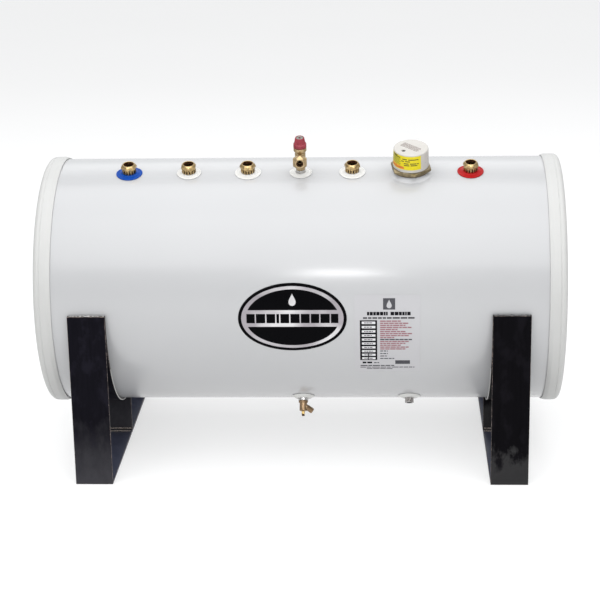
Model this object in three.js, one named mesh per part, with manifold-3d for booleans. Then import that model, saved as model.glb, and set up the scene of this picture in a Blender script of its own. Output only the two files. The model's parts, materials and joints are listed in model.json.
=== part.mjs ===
// A horizontal hot-water cylinder on two welded cradle feet.
// Millimetres, +Z up, +X along the cylinder, -Y to the front.
// The origin is on the floor, below the middle of the cylinder.
import * as THREE from "three";
import { mergeVertices } from "three/addons/utils/BufferGeometryUtils.js";
import Module from "manifold-3d";

const wasm = await Module();
wasm.setup();

// ---------------------------------------------------------------- driving dimensions

const GAP = 0.3; // left between pieces that touch
const AXIS_HEIGHT = 393; // the cylinder's axis above the floor

const CASING = { radius: 275, wall: 0.8, halfLength: 560, sides: 48 };
const CAP = { radius: 280, lip: 537, end: 575, edge: 14, wall: 3.5, recessRadius: 233, recess: 2.5 };
const VESSEL = { radius: 225, wall: 1.5, barrel: 430, dish: 95, sides: 32 };
const FOAM = { halfLength: 566, bevel: 11.5 };

const TOP_TILT = THREE.MathUtils.degToRad(16.3); // the top row leans to the front
const BOTTOM_TILT = THREE.MathUtils.degToRad(150); // the lower row points down and forward
const TAIL_START = 221; // every tail begins just inside the vessel wall
const OUTER = 18; // how far past the casing a hole cutter reaches

// The compression fittings, along the top row. turn is how many degrees the nut's corner is past +X.
const PIPE_PORTS = [
  { name: "cold_inlet", x: -381, rosette: 29, colour: "blue", turn: 18 },
  { name: "coil_flow", x: -248, rosette: 27, colour: "white", turn: 30 },
  { name: "coil_return", x: -117, rosette: 29, colour: "white", turn: 6 },
  { name: "secondary_return", x: 114, rosette: 29, colour: "white", turn: -10 },
  { name: "hot_outlet", x: 374, rosette: 29, colour: "red", turn: -20 },
];
// mouth is the end of the threaded body; skirt and crown are the nut's reach below and above it.
const PIPE_22 = { mouth: 293.2, skirt: 6.7, crown: 6, thread: 13.8, bore: 11.4, flats: 31, ringHeight: 3.2 };
const PIPE_15 = { mouth: 25, skirt: 9, crown: 6, thread: 9.7, bore: 7.8, flats: 30, ringHeight: 3.2 };
const TAIL = { radius: 12, bore: 9.5, collar: 15, collarTop: 286.2, socket: 11.2, socketFloor: 284.5 };

const RELIEF = { x: 0, tail: 10.5, rosette: 25, outlet: 314, lift: 2.5 };
const HEATER = { x: 243, boss: 37, flats: 82, turn: 40, head: 9, seat: 284.2, coverHeight: 42.8 };
const COVER_SCREW = { x: -16.5, y: -14.5 };
const DRAIN = { x: 0, tail: 11.3, rosette: 25, branchAngle: THREE.MathUtils.degToRad(55) };
const SENSOR = { x: 239, tail: 10, rosette: 25.5 };

const FOOT = { x: 459, width: 80, plate: 5, top: 389, saddleRadius: 275.4, centrePlate: 36 };
const STICKER = { clearance: 0.3, thickness: 0.5, rows: 14 };

// ---------------------------------------------------------------- materials

const paint = (color, roughness, metalness = 0) =>
  new THREE.MeshStandardMaterial({ color, roughness, metalness });
const material = {
  casing: paint(0xe9e9eb, 0.3),
  cap: paint(0xefefed, 0.45),
  foam: paint(0xd9c27a, 0.9),
  stainless: paint(0xb4b3b2, 0.3, 1),
  copper: paint(0xb5714a, 0.35, 1),
  brass: paint(0xb09255, 0.32, 1),
  agedBrass: paint(0x85714f, 0.45, 1),
  blue: paint(0x1f4fc0, 0.4),
  red: paint(0xc8202c, 0.4),
  white: paint(0xf1f1ef, 0.4),
  redKnob: paint(0xc23a4c, 0.45),
  rubber: paint(0x1c1c1d, 0.8),
  fibre: paint(0x8f2f24, 0.85),
  phenolic: paint(0x241f1d, 0.5),
  spring: paint(0x8c8f93, 0.35, 1),
  screw: paint(0x3a3836, 0.4, 1),
  badge: paint(0x111113, 0.25),
  label: paint(0xc9c9cd, 0.35),
  blackPaint: paint(0x1d1d20, 0.5),
};

// ---------------------------------------------------------------- solid helpers

// Joins equal vertices, drops collapsed triangles and turns the faces outwards.
function weld(geometry) {
  const bare = new THREE.BufferGeometry().setAttribute("position", geometry.getAttribute("position"));
  if (geometry.index) bare.setIndex(geometry.index);
  const merged = mergeVertices(bare, 1e-4);
  const corners = [...merged.index.array];
  const position = merged.getAttribute("position");
  const [a, b, c] = [new THREE.Vector3(), new THREE.Vector3(), new THREE.Vector3()];
  const kept = [];
  let volume = 0;
  for (let i = 0; i < corners.length; i += 3) {
    const [p, q, r] = corners.slice(i, i + 3);
    if (p === q || q === r || r === p) continue;
    kept.push(p, q, r);
    a.fromBufferAttribute(position, p);
    b.fromBufferAttribute(position, q);
    c.fromBufferAttribute(position, r);
    volume += a.dot(b.cross(c));
  }
  if (volume < 0) kept.reverse();
  merged.setIndex(kept);
  return merged;
}

function toSolid(geometry) {
  const welded = weld(geometry);
  return new wasm.Manifold(
    new wasm.Mesh({
      numProp: 3,
      vertProperties: new Float32Array(welded.getAttribute("position").array),
      triVerts: new Uint32Array(welded.index.array),
    }),
  );
}

function toGeometry(solid) {
  const mesh = solid.getMesh();
  const geometry = new THREE.BufferGeometry();
  geometry.setAttribute("position", new THREE.BufferAttribute(mesh.vertProperties, 3));
  return weld(geometry.setIndex([...mesh.triVerts]));
}

const cut = (base, ...tools) =>
  toGeometry(tools.reduce((solid, tool) => solid.subtract(toSolid(tool)), toSolid(base)));
const join = (base, ...others) =>
  toGeometry(others.reduce((solid, other) => solid.add(toSolid(other)), toSolid(base)));
const common = (base, other) => toGeometry(toSolid(base).intersect(toSolid(other)));

// Turns a closed outline of [radius, z] pairs about the Z axis.
function revolve(outline, sides) {
  const points = [...outline, outline[0]].map(([r, z]) => new THREE.Vector2(r, z));
  return weld(new THREE.LatheGeometry(points, sides).rotateX(Math.PI / 2));
}

const rod = (radius, from, to, sides = 16) =>
  revolve([[0, from], [radius, from], [radius, to], [0, to]], sides);
const ring = (inner, outer, from, to, sides = 24) =>
  revolve([[inner, from], [outer, from], [outer, to], [inner, to]], sides);

// Extrudes a list of [x, y] corners from one height to another.
function prism(corners, from, to) {
  const shape = new THREE.Shape(corners.map(([x, y]) => new THREE.Vector2(x, y)));
  const options = { depth: to - from, bevelEnabled: false };
  return weld(new THREE.ExtrudeGeometry(shape, options).translate(0, 0, from));
}

function block(width, depth, from, to, x = 0, y = 0) {
  const box = new THREE.BoxGeometry(width, depth, to - from);
  return weld(box.translate(x, y, (from + to) / 2));
}

// turn is the angle of one corner past +X, in degrees.
const hexagon = (flats, turn) =>
  Array.from({ length: 6 }, (_, i) => {
    const angle = (i * Math.PI) / 3 + THREE.MathUtils.degToRad(turn);
    const corner = flats / Math.sqrt(3);
    return [corner * Math.cos(angle), corner * Math.sin(angle)];
  });

// A round bar along a curve.
function bar(curve, radius, sides, steps) {
  const section = new THREE.Shape();
  for (let i = 0; i < sides; i += 1) {
    const angle = (i * 2 * Math.PI) / sides;
    const [x, y] = [radius * Math.cos(angle), radius * Math.sin(angle)];
    if (i === 0) section.moveTo(x, y);
    else section.lineTo(x, y);
  }
  const options = { extrudePath: curve, steps, bevelEnabled: false };
  return weld(new THREE.ExtrudeGeometry(section, options));
}

function piece(parent, name, geometry, look) {
  const mesh = new THREE.Mesh(geometry, look);
  mesh.name = name;
  parent.add(mesh);
}

// ---------------------------------------------------------------- placing the ports

// A port's own frame: z runs outwards from the cylinder's axis, x along the cylinder.
const portMatrix = (x, tilt) => new THREE.Matrix4().makeRotationX(tilt).setPosition(x, 0, 0);

function portGroup(parent, x, tilt) {
  const group = new THREE.Group();
  group.position.x = x;
  group.rotation.x = tilt;
  parent.add(group);
  return group;
}

const PORTS = [
  ...PIPE_PORTS.map(({ x }) => ({ x, tilt: TOP_TILT, tail: TAIL.radius })),
  { x: RELIEF.x, tilt: TOP_TILT, tail: RELIEF.tail },
  { x: HEATER.x, tilt: TOP_TILT, tail: HEATER.boss },
  { x: DRAIN.x, tilt: BOTTOM_TILT, tail: DRAIN.tail },
  { x: SENSOR.x, tilt: BOTTOM_TILT, tail: SENSOR.tail },
];

// The holes that the tails and the heater's boss pass through, each flat of a hole clear of the tail.
const HOLE_SIDES = 12;
const portCutters = (clearance) =>
  PORTS.map(({ x, tilt, tail }) => {
    const corner = (tail + clearance) / Math.cos(Math.PI / HOLE_SIDES);
    const cutter = rod(corner, TAIL_START - 30, CASING.radius + OUTER, HOLE_SIDES);
    return cutter.applyMatrix4(portMatrix(x, tilt));
  });

// ---------------------------------------------------------------- the cylinder's shells

// Revolved outlines are turned from the Z axis onto the X axis.
const alongX = (geometry) => geometry.rotateY(Math.PI / 2);

function makeCasing() {
  const { radius, wall, halfLength, sides } = CASING;
  return cut(alongX(ring(radius - wall, radius, -halfLength, halfLength, sides)), ...portCutters(GAP + 0.1));
}

// A shallow cup with a rounded rim, open towards the casing, and a recessed round panel.
function makeEndCap(side) {
  const { radius, lip, end, edge, wall, recessRadius, recess } = CAP;
  const rim = [1, 2, 3].map((i) => {
    const angle = (i * Math.PI) / 6;
    return [radius - edge + edge * Math.cos(angle), end - edge + edge * Math.sin(angle)];
  });
  const inner = end - recess - wall;
  const outline = [
    [CASING.radius + 0.4, lip],
    [radius, lip],
    [radius, end - edge],
    ...rim,
    [recessRadius, end],
    [recessRadius - recess, end - recess],
    [0, end - recess],
    [0, inner],
    [radius - 16, inner],
    [CASING.radius + 0.4, CASING.halfLength],
  ];
  const cap = alongX(revolve(outline, CASING.sides));
  return side < 0 ? cap.rotateZ(Math.PI) : cap;
}

// The outline of the vessel's outer or inner skin, from one pole to the other.
function vesselOutline(radius, dish) {
  const steps = 4;
  const quarter = Array.from({ length: steps + 1 }, (_, i) => {
    const angle = (i * Math.PI) / 2 / steps;
    return [i === steps ? 0 : radius * Math.cos(angle), VESSEL.barrel + dish * Math.sin(angle)];
  });
  return [...quarter.map(([r, z]) => [r, -z]).reverse(), ...quarter];
}

function makeFoam() {
  const outer = CASING.radius - CASING.wall - GAP;
  const { halfLength, bevel } = FOAM;
  const shoulder = halfLength - bevel * 0.6;
  const body = revolve(
    [[0, -halfLength], [outer - bevel, -halfLength], [outer, -shoulder],
      [outer, shoulder], [outer - bevel, halfLength], [0, halfLength]],
    CASING.sides,
  );
  const hollow = revolve(vesselOutline(VESSEL.radius + GAP, VESSEL.dish + GAP + 0.3), VESSEL.sides);
  return cut(alongX(body), alongX(hollow), ...portCutters(GAP));
}

function makeBarrel() {
  const { radius, wall, barrel, sides } = VESSEL;
  return cut(alongX(ring(radius - wall, radius, -barrel, barrel, sides)), ...portCutters(GAP));
}

function makeVesselEnd(side) {
  const { radius, wall, barrel, dish, sides } = VESSEL;
  const outer = vesselOutline(radius, dish).filter(([, z]) => z > 0);
  const inner = vesselOutline(radius - wall, dish - wall).filter(([, z]) => z > 0);
  const end = alongX(revolve([...outer, ...inner.reverse()], sides).translate(0, 0, GAP));
  return side < 0 ? end.rotateZ(Math.PI) : end;
}

// A plain-tube heat exchanger in the lower half: down from the flow port, round a helix, up to the return.
function makeCoil() {
  const port = ([x, height]) => new THREE.Vector3(0, 0, height).applyMatrix4(portMatrix(x, TOP_TILT));
  const [flow, back] = [PIPE_PORTS[1].x, PIPE_PORTS[2].x];
  const helix = { radius: 80, centre: -110, pitch: 36, turns: 6.5, perTurn: 8 };
  const points = [[flow, TAIL_START - GAP], [flow, 150], [flow, 70], [flow, 10]].map(port);
  const count = helix.turns * helix.perTurn;
  for (let i = 0; i <= count; i += 1) {
    const angle = (i * 2 * Math.PI) / helix.perTurn;
    const [y, z] = [helix.radius * Math.cos(angle), helix.centre - helix.radius * Math.sin(angle)];
    points.push(new THREE.Vector3(flow + (helix.pitch * i) / helix.perTurn, y, z));
  }
  const last = points[points.length - 1];
  points.push(
    new THREE.Vector3(last.x, -90, -40),
    new THREE.Vector3(last.x - 30, -80, 10),
    new THREE.Vector3((last.x + back) / 2, -65, 20),
    new THREE.Vector3(back + 15, -45, 40),
    ...[[back, 100], [back, 160], [back, TAIL_START - GAP]].map(port),
  );
  return bar(new THREE.CatmullRomCurve3(points), 8, 5, 84);
}

// ---------------------------------------------------------------- compression fittings

// The nut is a hexagon with a conical crown. Its thread is a plain bore.
function compressionNut({ mouth, skirt, crown, thread, bore, flats }, turn) {
  const [foot, top, corner] = [mouth - skirt, mouth + crown, flats / Math.sqrt(3) + 0.2];
  const envelope = revolve(
    [[0, foot], [corner, foot], [corner, top - crown * 0.75], [bore + 2.4, top], [0, top]],
    12,
  );
  const seat = mouth + crown * 0.3;
  const bored = revolve(
    [[0, foot - 1], [thread + 2 * GAP, foot - 1], [thread + 2 * GAP, seat], [bore, seat + crown * 0.38],
      [bore, top + 1], [0, top + 1]],
    16,
  );
  return cut(common(prism(hexagon(flats, turn), foot, top), envelope), bored);
}

// The soft ring that the nut squeezes onto the pipe.
function olive({ mouth, bore, ringHeight }) {
  const [foot, inner] = [mouth + GAP, bore - 0.3];
  return revolve(
    [[inner, foot], [inner + 1.4, foot], [inner + 1.7, foot + ringHeight * 0.5],
      [inner + 0.6, foot + ringHeight], [inner, foot + ringHeight]],
    14,
  );
}

// A flat cover plate with a raised hub, which sits on the casing round a tail.
function rosette(inner, outer, hubHeight) {
  const foot = CASING.radius + 0.4;
  const hub = inner + 5;
  return revolve(
    [[inner, foot], [outer, foot], [outer, foot + 1.4], [hub, foot + hubHeight], [inner, foot + hubHeight]],
    18,
  );
}

function pipeTail() {
  const { radius, bore, collar, collarTop, socket, socketFloor } = TAIL;
  const { mouth, thread } = PIPE_22;
  return revolve(
    [[bore, TAIL_START], [radius, TAIL_START], [radius, 279.6], [collar, 279.6], [collar, collarTop],
      [thread, collarTop], [thread, mouth], [socket, mouth], [socket, socketFloor], [bore, socketFloor]],
    14,
  );
}

function addPipePort(cylinder, { name, x, rosette: plate, colour, turn }) {
  const port = portGroup(cylinder, x, TOP_TILT);
  piece(port, name + "_tail", pipeTail(), material.brass);
  piece(port, name + "_olive", olive(PIPE_22), material.copper);
  piece(port, name + "_nut", compressionNut(PIPE_22, turn), material.brass);
  piece(port, name + "_rosette", rosette(TAIL.radius + 0.4, plate, 3.4), material[colour]);
}

// Carries the cold feed to the bottom of the vessel, where a plate spreads it.
function dipPipe() {
  return revolve(
    [[7.5, TAIL_START - GAP], [9.3, TAIL_START - GAP], [9.3, -176], [22, -180], [22, -183], [7.5, -183]],
    16,
  );
}

// ---------------------------------------------------------------- relief valve

// Inlet, seat, spring chamber and bonnet in one casting, with a threaded side outlet to the front.
function reliefBody() {
  const outer = [
    [0, 285.3], [10.5, 285.3], [10.5, 299], [11.8, 300.5], [11.8, 329.5], [14.5, 331], [14.5, 339.3],
    [9.5, 339.3], [9.5, 352], [0, 352],
  ];
  const inner = [
    [0, 284], [6.5, 284], [6.5, 305], [4.5, 305], [4.5, 308], [9, 308], [9, 329], [7, 330],
    [7, 349], [2.8, 349], [2.8, 353], [0, 353],
  ];
  const sideways = (geometry) => geometry.rotateX(Math.PI / 2).translate(0, 0, RELIEF.outlet);
  const { mouth, thread, bore } = PIPE_15;
  const branch = sideways(rod(thread, 6, mouth, 16));
  const socket = sideways(rod(bore, mouth - 8, mouth + 1, 16));
  const passage = sideways(rod(5.5, 2, mouth - 7, 16));
  return cut(join(revolve(outer, 16), branch), revolve(inner, 16), socket, passage);
}

// Disc, shaft and spring collar in one. The cap lifts it against the spring.
function reliefStem() {
  return revolve(
    [[0, 308.3], [6.8, 308.3], [6.8, 311], [2.2, 311], [2.2, 331], [6, 331], [6, 333],
      [2.2, 333], [2.2, 358.2], [0, 358.2]],
    12,
  );
}

function reliefSpring() {
  const [foot, top, turns, wire, radius] = [333.4, 348.6, 5, 0.8, 4.8];
  const points = [];
  const steps = turns * 7;
  for (let i = 0; i <= steps; i += 1) {
    const angle = (i * 2 * Math.PI) / 7;
    const height = foot + wire + ((top - foot - 2 * wire) * i) / steps;
    points.push(new THREE.Vector3(radius * Math.cos(angle), radius * Math.sin(angle), height));
  }
  return bar(new THREE.CatmullRomCurve3(points), wire, 4, steps);
}

function reliefCap() {
  return revolve(
    [[12.4, 340], [14.4, 340], [14.4, 348.2], [13.6, 349], [9.8, 363], [0, 363], [0, 358.6], [2.6, 358.6],
      [2.6, 353], [10.4, 353], [12.4, 346]],
    20,
  );
}

function addReliefValve(cylinder) {
  const port = portGroup(cylinder, RELIEF.x, TOP_TILT);
  piece(port, "relief_rosette", rosette(RELIEF.tail + 0.4, RELIEF.rosette, 3.4), material.white);
  piece(port, "relief_tail", ring(6.5, RELIEF.tail, TAIL_START, 285, 16), material.stainless);
  piece(port, "relief_probe", rod(3.5, 110, 283, 10), material.stainless);
  piece(port, "relief_body", reliefBody(), material.brass);
  piece(port, "relief_stem", reliefStem(), material.stainless);
  piece(port, "relief_spring", reliefSpring(), material.spring);
  piece(port, "relief_cap", reliefCap(), material.redKnob);
  const outlet = new THREE.Group();
  outlet.position.z = RELIEF.outlet;
  outlet.rotation.x = Math.PI / 2;
  port.add(outlet);
  piece(outlet, "relief_outlet_olive", olive(PIPE_15), material.copper);
  piece(outlet, "relief_outlet_nut", compressionNut(PIPE_15, 30), material.brass);
}

// ---------------------------------------------------------------- immersion heater

const HEAD_TOP = HEATER.seat + HEATER.head;
const COVER_FOOT = HEAD_TOP + GAP;
const COVER_TOP = COVER_FOOT + HEATER.coverHeight;
const THERMOSTAT = { x: 12, y: 2, width: 30, depth: 26, top: 317, rod: 4, rodEnd: 90 };

// A hexagon flange over a hollow threaded plug, with a pillar for the cover's screw.
function heaterHead() {
  const { x, y } = COVER_SCREW;
  const flange = prism(hexagon(HEATER.flats, HEATER.turn), HEATER.seat, HEAD_TOP);
  const plug = rod(32.6, 246, HEATER.seat + 1, 24);
  const pillar = rod(4, HEAD_TOP - 1, COVER_TOP - 13, 12).translate(x, y, 0);
  const cup = rod(27, 245, 280, 24);
  const thread = rod(2.4, COVER_TOP - 25, COVER_TOP - 12, 12).translate(x, y, 0);
  const pocket = rod(THERMOSTAT.rod + 0.4, 276, HEAD_TOP + 1, 12).translate(THERMOSTAT.x, THERMOSTAT.y, 0);
  return cut(join(flange, plug, pillar), cup, thread, pocket);
}

// One hairpin of sheathed rod.
function heaterElement() {
  const [spread, y, top, bottom] = [13, -12, 279.7, -40];
  const path = new THREE.CurvePath();
  const corner = (x, z) => new THREE.Vector3(x, y, z);
  path.add(new THREE.LineCurve3(corner(-spread, top), corner(-spread, bottom)));
  for (let i = 0; i < 6; i += 1) {
    const [a, b] = [i, i + 1].map((step) => (step * Math.PI) / 6);
    const turn = (angle) => corner(-spread * Math.cos(angle), bottom - spread * Math.sin(angle));
    path.add(new THREE.LineCurve3(turn(a), turn(b)));
  }
  path.add(new THREE.LineCurve3(corner(spread, bottom), corner(spread, top)));
  const points = path.curves.map((curve) => curve.v1).concat(path.curves.at(-1).v2);
  return sweep(points, 4.1, 8);
}

// A round bar through the given points, in the XZ plane, with a mitred ring at each.
function sweep(points, radius, sides) {
  const rings = points.map((point, i) => {
    const before = points[Math.max(i - 1, 0)];
    const after = points[Math.min(i + 1, points.length - 1)];
    const along = after.clone().sub(before).normalize();
    const across = new THREE.Vector3(0, 1, 0);
    const up = along.clone().cross(across);
    return Array.from({ length: sides }, (_, k) => {
      const angle = (k * 2 * Math.PI) / sides;
      const offset = across.clone().multiplyScalar(radius * Math.cos(angle));
      return point.clone().add(offset).addScaledVector(up, radius * Math.sin(angle));
    });
  });
  const index = [];
  for (let i = 0; i + 1 < rings.length; i += 1) {
    for (let k = 0; k < sides; k += 1) {
      const [a, b] = [i * sides + k, i * sides + ((k + 1) % sides)];
      index.push(a, b, a + sides, b, b + sides, a + sides);
    }
  }
  const lastRing = (rings.length - 1) * sides;
  for (let k = 1; k + 1 < sides; k += 1) {
    index.push(0, k + 1, k, lastRing, lastRing + k, lastRing + k + 1);
  }
  return weld(new THREE.BufferGeometry().setFromPoints(rings.flat()).setIndex(index));
}

function thermostatBody() {
  const { x, y, width, depth, top, rod: radius, rodEnd } = THERMOSTAT;
  const box = block(width, depth, HEAD_TOP + GAP, top, x, y);
  return join(box, rod(radius, rodEnd, HEAD_TOP + 2, 10).translate(x, y, 0));
}

function thermostatDial() {
  const { x, y, top } = THERMOSTAT;
  const grip = block(3, 13, top + 2, top + 6);
  return join(rod(8, top + GAP, top + 3, 16), grip).translate(x, y, 0);
}

function terminalBlock() {
  const foot = HEAD_TOP + GAP;
  const posts = [-5, 5].map((step) => rod(2.5, foot + 13, foot + 19, 8).translate(-17 + step, 8, 0));
  return join(block(18, 18, foot, foot + 14, -17, 8), ...posts);
}

// A tapered cup, open at the foot, with a sunk hole for its screw and a cable hole at the back.
function heaterCover() {
  const { x, y } = COVER_SCREW;
  const [foot, top] = [COVER_FOOT, COVER_TOP];
  const outer = revolve(
    [[0, foot], [40.3, foot], [39.2, top - 4], [38, top - 1.2], [35.2, top], [0, top]], 32);
  const hollow = revolve([[0, foot - 1], [38.3, foot - 1], [37, top - 2.2], [0, top - 2.2]], 32);
  const shell = join(cut(outer, hollow), rod(6, top - 11, top - 1, 16).translate(x, y, 0));
  const sink = rod(4.3, top - 6, top + 1, 16).translate(x, y, 0);
  const hole = rod(2.3, top - 12, top - 5, 12).translate(x, y, 0);
  const cable = rod(6, 20, 45, 12).rotateX(-Math.PI / 2).translate(0, 0, foot + 14);
  return cut(shell, sink, hole, cable);
}

function coverScrew() {
  const head = COVER_TOP - 6 + GAP;
  const body = revolve(
    [[0, head - 15], [1.9, head - 15], [1.9, head], [3.7, head], [3.7, head + 2.2], [0, head + 3]], 12);
  return cut(body, block(1, 8, head + 1.8, head + 4)).translate(COVER_SCREW.x, COVER_SCREW.y, 0);
}

function addImmersionHeater(cylinder) {
  const port = portGroup(cylinder, HEATER.x, TOP_TILT);
  piece(port, "heater_boss", ring(33.2, HEATER.boss, TAIL_START, 281.6, 24), material.stainless);
  piece(port, "heater_gasket", ring(33.2, 40, 281.9, HEATER.seat - GAP, 24), material.fibre);
  piece(port, "heater_head", heaterHead(), material.agedBrass);
  piece(port, "heater_element", heaterElement(), material.spring);
  piece(port, "thermostat", thermostatBody(), material.phenolic);
  piece(port, "thermostat_dial", thermostatDial(), material.red);
  piece(port, "terminal_block", terminalBlock(), material.phenolic);
  piece(port, "heater_cover", heaterCover(), material.white);
  piece(port, "cover_screw", coverScrew(), material.screw);
}

// ---------------------------------------------------------------- drain cock and sensor pocket

// The body holds the seat and the screw, and a hose branch leaves it at an angle.
function drainBody() {
  const root = 296;
  const outer = [[0, 287.3], [10.6, 287.3], [10.6, 291], [8.4, 292.5], [8.4, 310], [0, 310]];
  const inner = [
    [0, 286], [5, 286], [5, 297], [3.5, 297], [3.5, 299], [6.2, 299], [6.2, 306.5], [3.1, 306.5],
    [3.1, 311], [0, 311],
  ];
  const slanted = (geometry) => geometry.rotateY(DRAIN.branchAngle).translate(0, 0, root);
  const branch = slanted(rod(6.8, 1, 26, 14));
  const branchBore = slanted(rod(4.2, 5, 27, 12));
  return cut(join(revolve(outer, 16), branch), revolve(inner, 16), branchBore);
}

function drainSpindle() {
  const square = block(6.6, 6.6, 310.3, 321.5);
  return join(rod(2.7, 302.1, 311, 10), square);
}

function addDrainCock(cylinder) {
  const port = portGroup(cylinder, DRAIN.x, BOTTOM_TILT);
  piece(port, "drain_rosette", rosette(DRAIN.tail + 0.4, DRAIN.rosette, 6), material.white);
  piece(port, "drain_tail", ring(5, DRAIN.tail, TAIL_START, 287, 16), material.stainless);
  piece(port, "drain_body", drainBody(), material.agedBrass);
  piece(port, "drain_washer", rod(5.6, 299.3, 301.8, 12), material.rubber);
  piece(port, "drain_spindle", drainSpindle(), material.brass);
}

// A blind tube into the vessel, open at its threaded outer end.
function sensorPocket() {
  return revolve(
    [[0, 120], [8, 120], [8, 268], [SENSOR.tail, 270], [SENSOR.tail, 291.3], [6.5, 291.3], [6.5, 123], [0, 123]],
    16,
  );
}

function addSensorPocket(cylinder) {
  const port = portGroup(cylinder, SENSOR.x, BOTTOM_TILT);
  piece(port, "sensor_rosette", rosette(SENSOR.tail + 0.4, SENSOR.rosette, 5), material.white);
  piece(port, "sensor_pocket", sensorPocket(), material.stainless);
}

// ---------------------------------------------------------------- stickers

// A thin sheet bent round the casing. Angles are from the top, towards the front. halfWidth gives
// half the sheet's width at a share from 0 to 1 of the way down it.
function sticker(centre, fromAngle, toAngle, halfWidth, share) {
  const inner = CASING.radius + STICKER.clearance;
  const outer = inner + STICKER.thickness;
  const points = [];
  for (let i = 0; i <= STICKER.rows; i += 1) {
    const down = share(i / STICKER.rows);
    const angle = THREE.MathUtils.degToRad(fromAngle + (toAngle - fromAngle) * down);
    for (const [side, radius] of [[-1, inner], [1, inner], [1, outer], [-1, outer]]) {
      const x = centre + side * halfWidth(down);
      points.push(new THREE.Vector3(x, -radius * Math.sin(angle), radius * Math.cos(angle)));
    }
  }
  const index = [0, 1, 2, 0, 2, 3];
  for (let i = 0; i < STICKER.rows; i += 1) {
    for (let k = 0; k < 4; k += 1) {
      const [a, b] = [4 * i + k, 4 * i + ((k + 1) % 4)];
      index.push(a, a + 4, b, b, a + 4, b + 4);
    }
  }
  const last = 4 * STICKER.rows;
  index.push(last, last + 2, last + 1, last, last + 3, last + 2);
  return weld(new THREE.BufferGeometry().setFromPoints(points).setIndex(index));
}

const ovalRow = (share) => (1 - Math.cos(THREE.MathUtils.lerp(0.12, Math.PI - 0.12, share))) / 2;
const ovalHalfWidth = (down) => 116 * Math.sqrt(Math.max(0, 1 - (2 * down - 1) ** 2));

function addStickers(cylinder) {
  piece(cylinder, "badge", sticker(-13, 76.1, 108.7, ovalHalfWidth, ovalRow), material.badge);
  const label = sticker(190, 81.5, 122, () => 71, (share) => share);
  piece(cylinder, "rating_label", label, material.label);
}

// ---------------------------------------------------------------- cradle feet

// Base bar on the floor, an upright at each end and a plate under the saddle, welded together.
function footFrame() {
  const { width, plate, top, saddleRadius, centrePlate } = FOOT;
  const inside = saddleRadius + plate + GAP;
  const saddleOuter = saddleRadius + plate;
  const plateTop = AXIS_HEIGHT - Math.sqrt(saddleOuter ** 2 - (centrePlate - plate / 2) ** 2) - GAP;
  const base = block(width, 2 * inside + plate, 0, plate);
  const upright = (side) => block(width, plate, 0, top, 0, side * (inside + plate / 2));
  return join(base, upright(-1), upright(1), block(width, plate, plate / 2, plateTop, 0, centrePlate));
}

// A flat bar rolled to hug the lower half of the casing.
function saddle() {
  const { width, plate, top, saddleRadius } = FOOT;
  const step = (2 * Math.PI) / CASING.sides;
  const short = Math.asin((AXIS_HEIGHT - top) / saddleRadius);
  const angles = [Math.PI + short];
  for (let angle = Math.PI + step; angle < 2 * Math.PI - step / 2; angle += step) angles.push(angle);
  angles.push(2 * Math.PI - short);
  const arc = (radius) => angles.map((angle) => [radius * Math.cos(angle), radius * Math.sin(angle)]);
  const band = prism([...arc(saddleRadius), ...arc(saddleRadius + plate).reverse()], -width / 2, width / 2);
  const [x, y, z] = [new THREE.Vector3(1, 0, 0), new THREE.Vector3(0, 1, 0), new THREE.Vector3(0, 0, 1)];
  return band.applyMatrix4(new THREE.Matrix4().makeBasis(y, z, x)).translate(0, 0, AXIS_HEIGHT);
}

function addFoot(parent, name, side) {
  const foot = new THREE.Group();
  foot.position.x = side * FOOT.x;
  parent.add(foot);
  piece(foot, name + "_frame", footFrame(), material.blackPaint);
  piece(foot, name + "_saddle", saddle(), material.blackPaint);
}

// ---------------------------------------------------------------- assembly

const heater = new THREE.Group();
const cylinder = new THREE.Group();
cylinder.position.z = AXIS_HEIGHT;
heater.add(cylinder);

piece(cylinder, "casing", makeCasing(), material.casing);
piece(cylinder, "end_cap_left", makeEndCap(-1), material.cap);
piece(cylinder, "end_cap_right", makeEndCap(1), material.cap);
piece(cylinder, "foam_insulation", makeFoam(), material.foam);
piece(cylinder, "vessel_barrel", makeBarrel(), material.stainless);
piece(cylinder, "vessel_end_left", makeVesselEnd(-1), material.stainless);
piece(cylinder, "vessel_end_right", makeVesselEnd(1), material.stainless);
piece(cylinder, "heat_coil", makeCoil(), material.stainless);

PIPE_PORTS.forEach((port) => addPipePort(cylinder, port));
piece(portGroup(cylinder, PIPE_PORTS[0].x, TOP_TILT), "cold_dip_pipe", dipPipe(), material.stainless);
addReliefValve(cylinder);
addImmersionHeater(cylinder);
addDrainCock(cylinder);
addSensorPocket(cylinder);
addStickers(cylinder);
addFoot(heater, "foot_left", -1);
addFoot(heater, "foot_right", 1);

export default heater;
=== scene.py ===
"""The looks of a horizontal hot-water cylinder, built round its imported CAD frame. +Z is up, -Y front."""
import json
import math
import random

import bmesh
import bpy
from mathutils import Matrix, Vector


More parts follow.
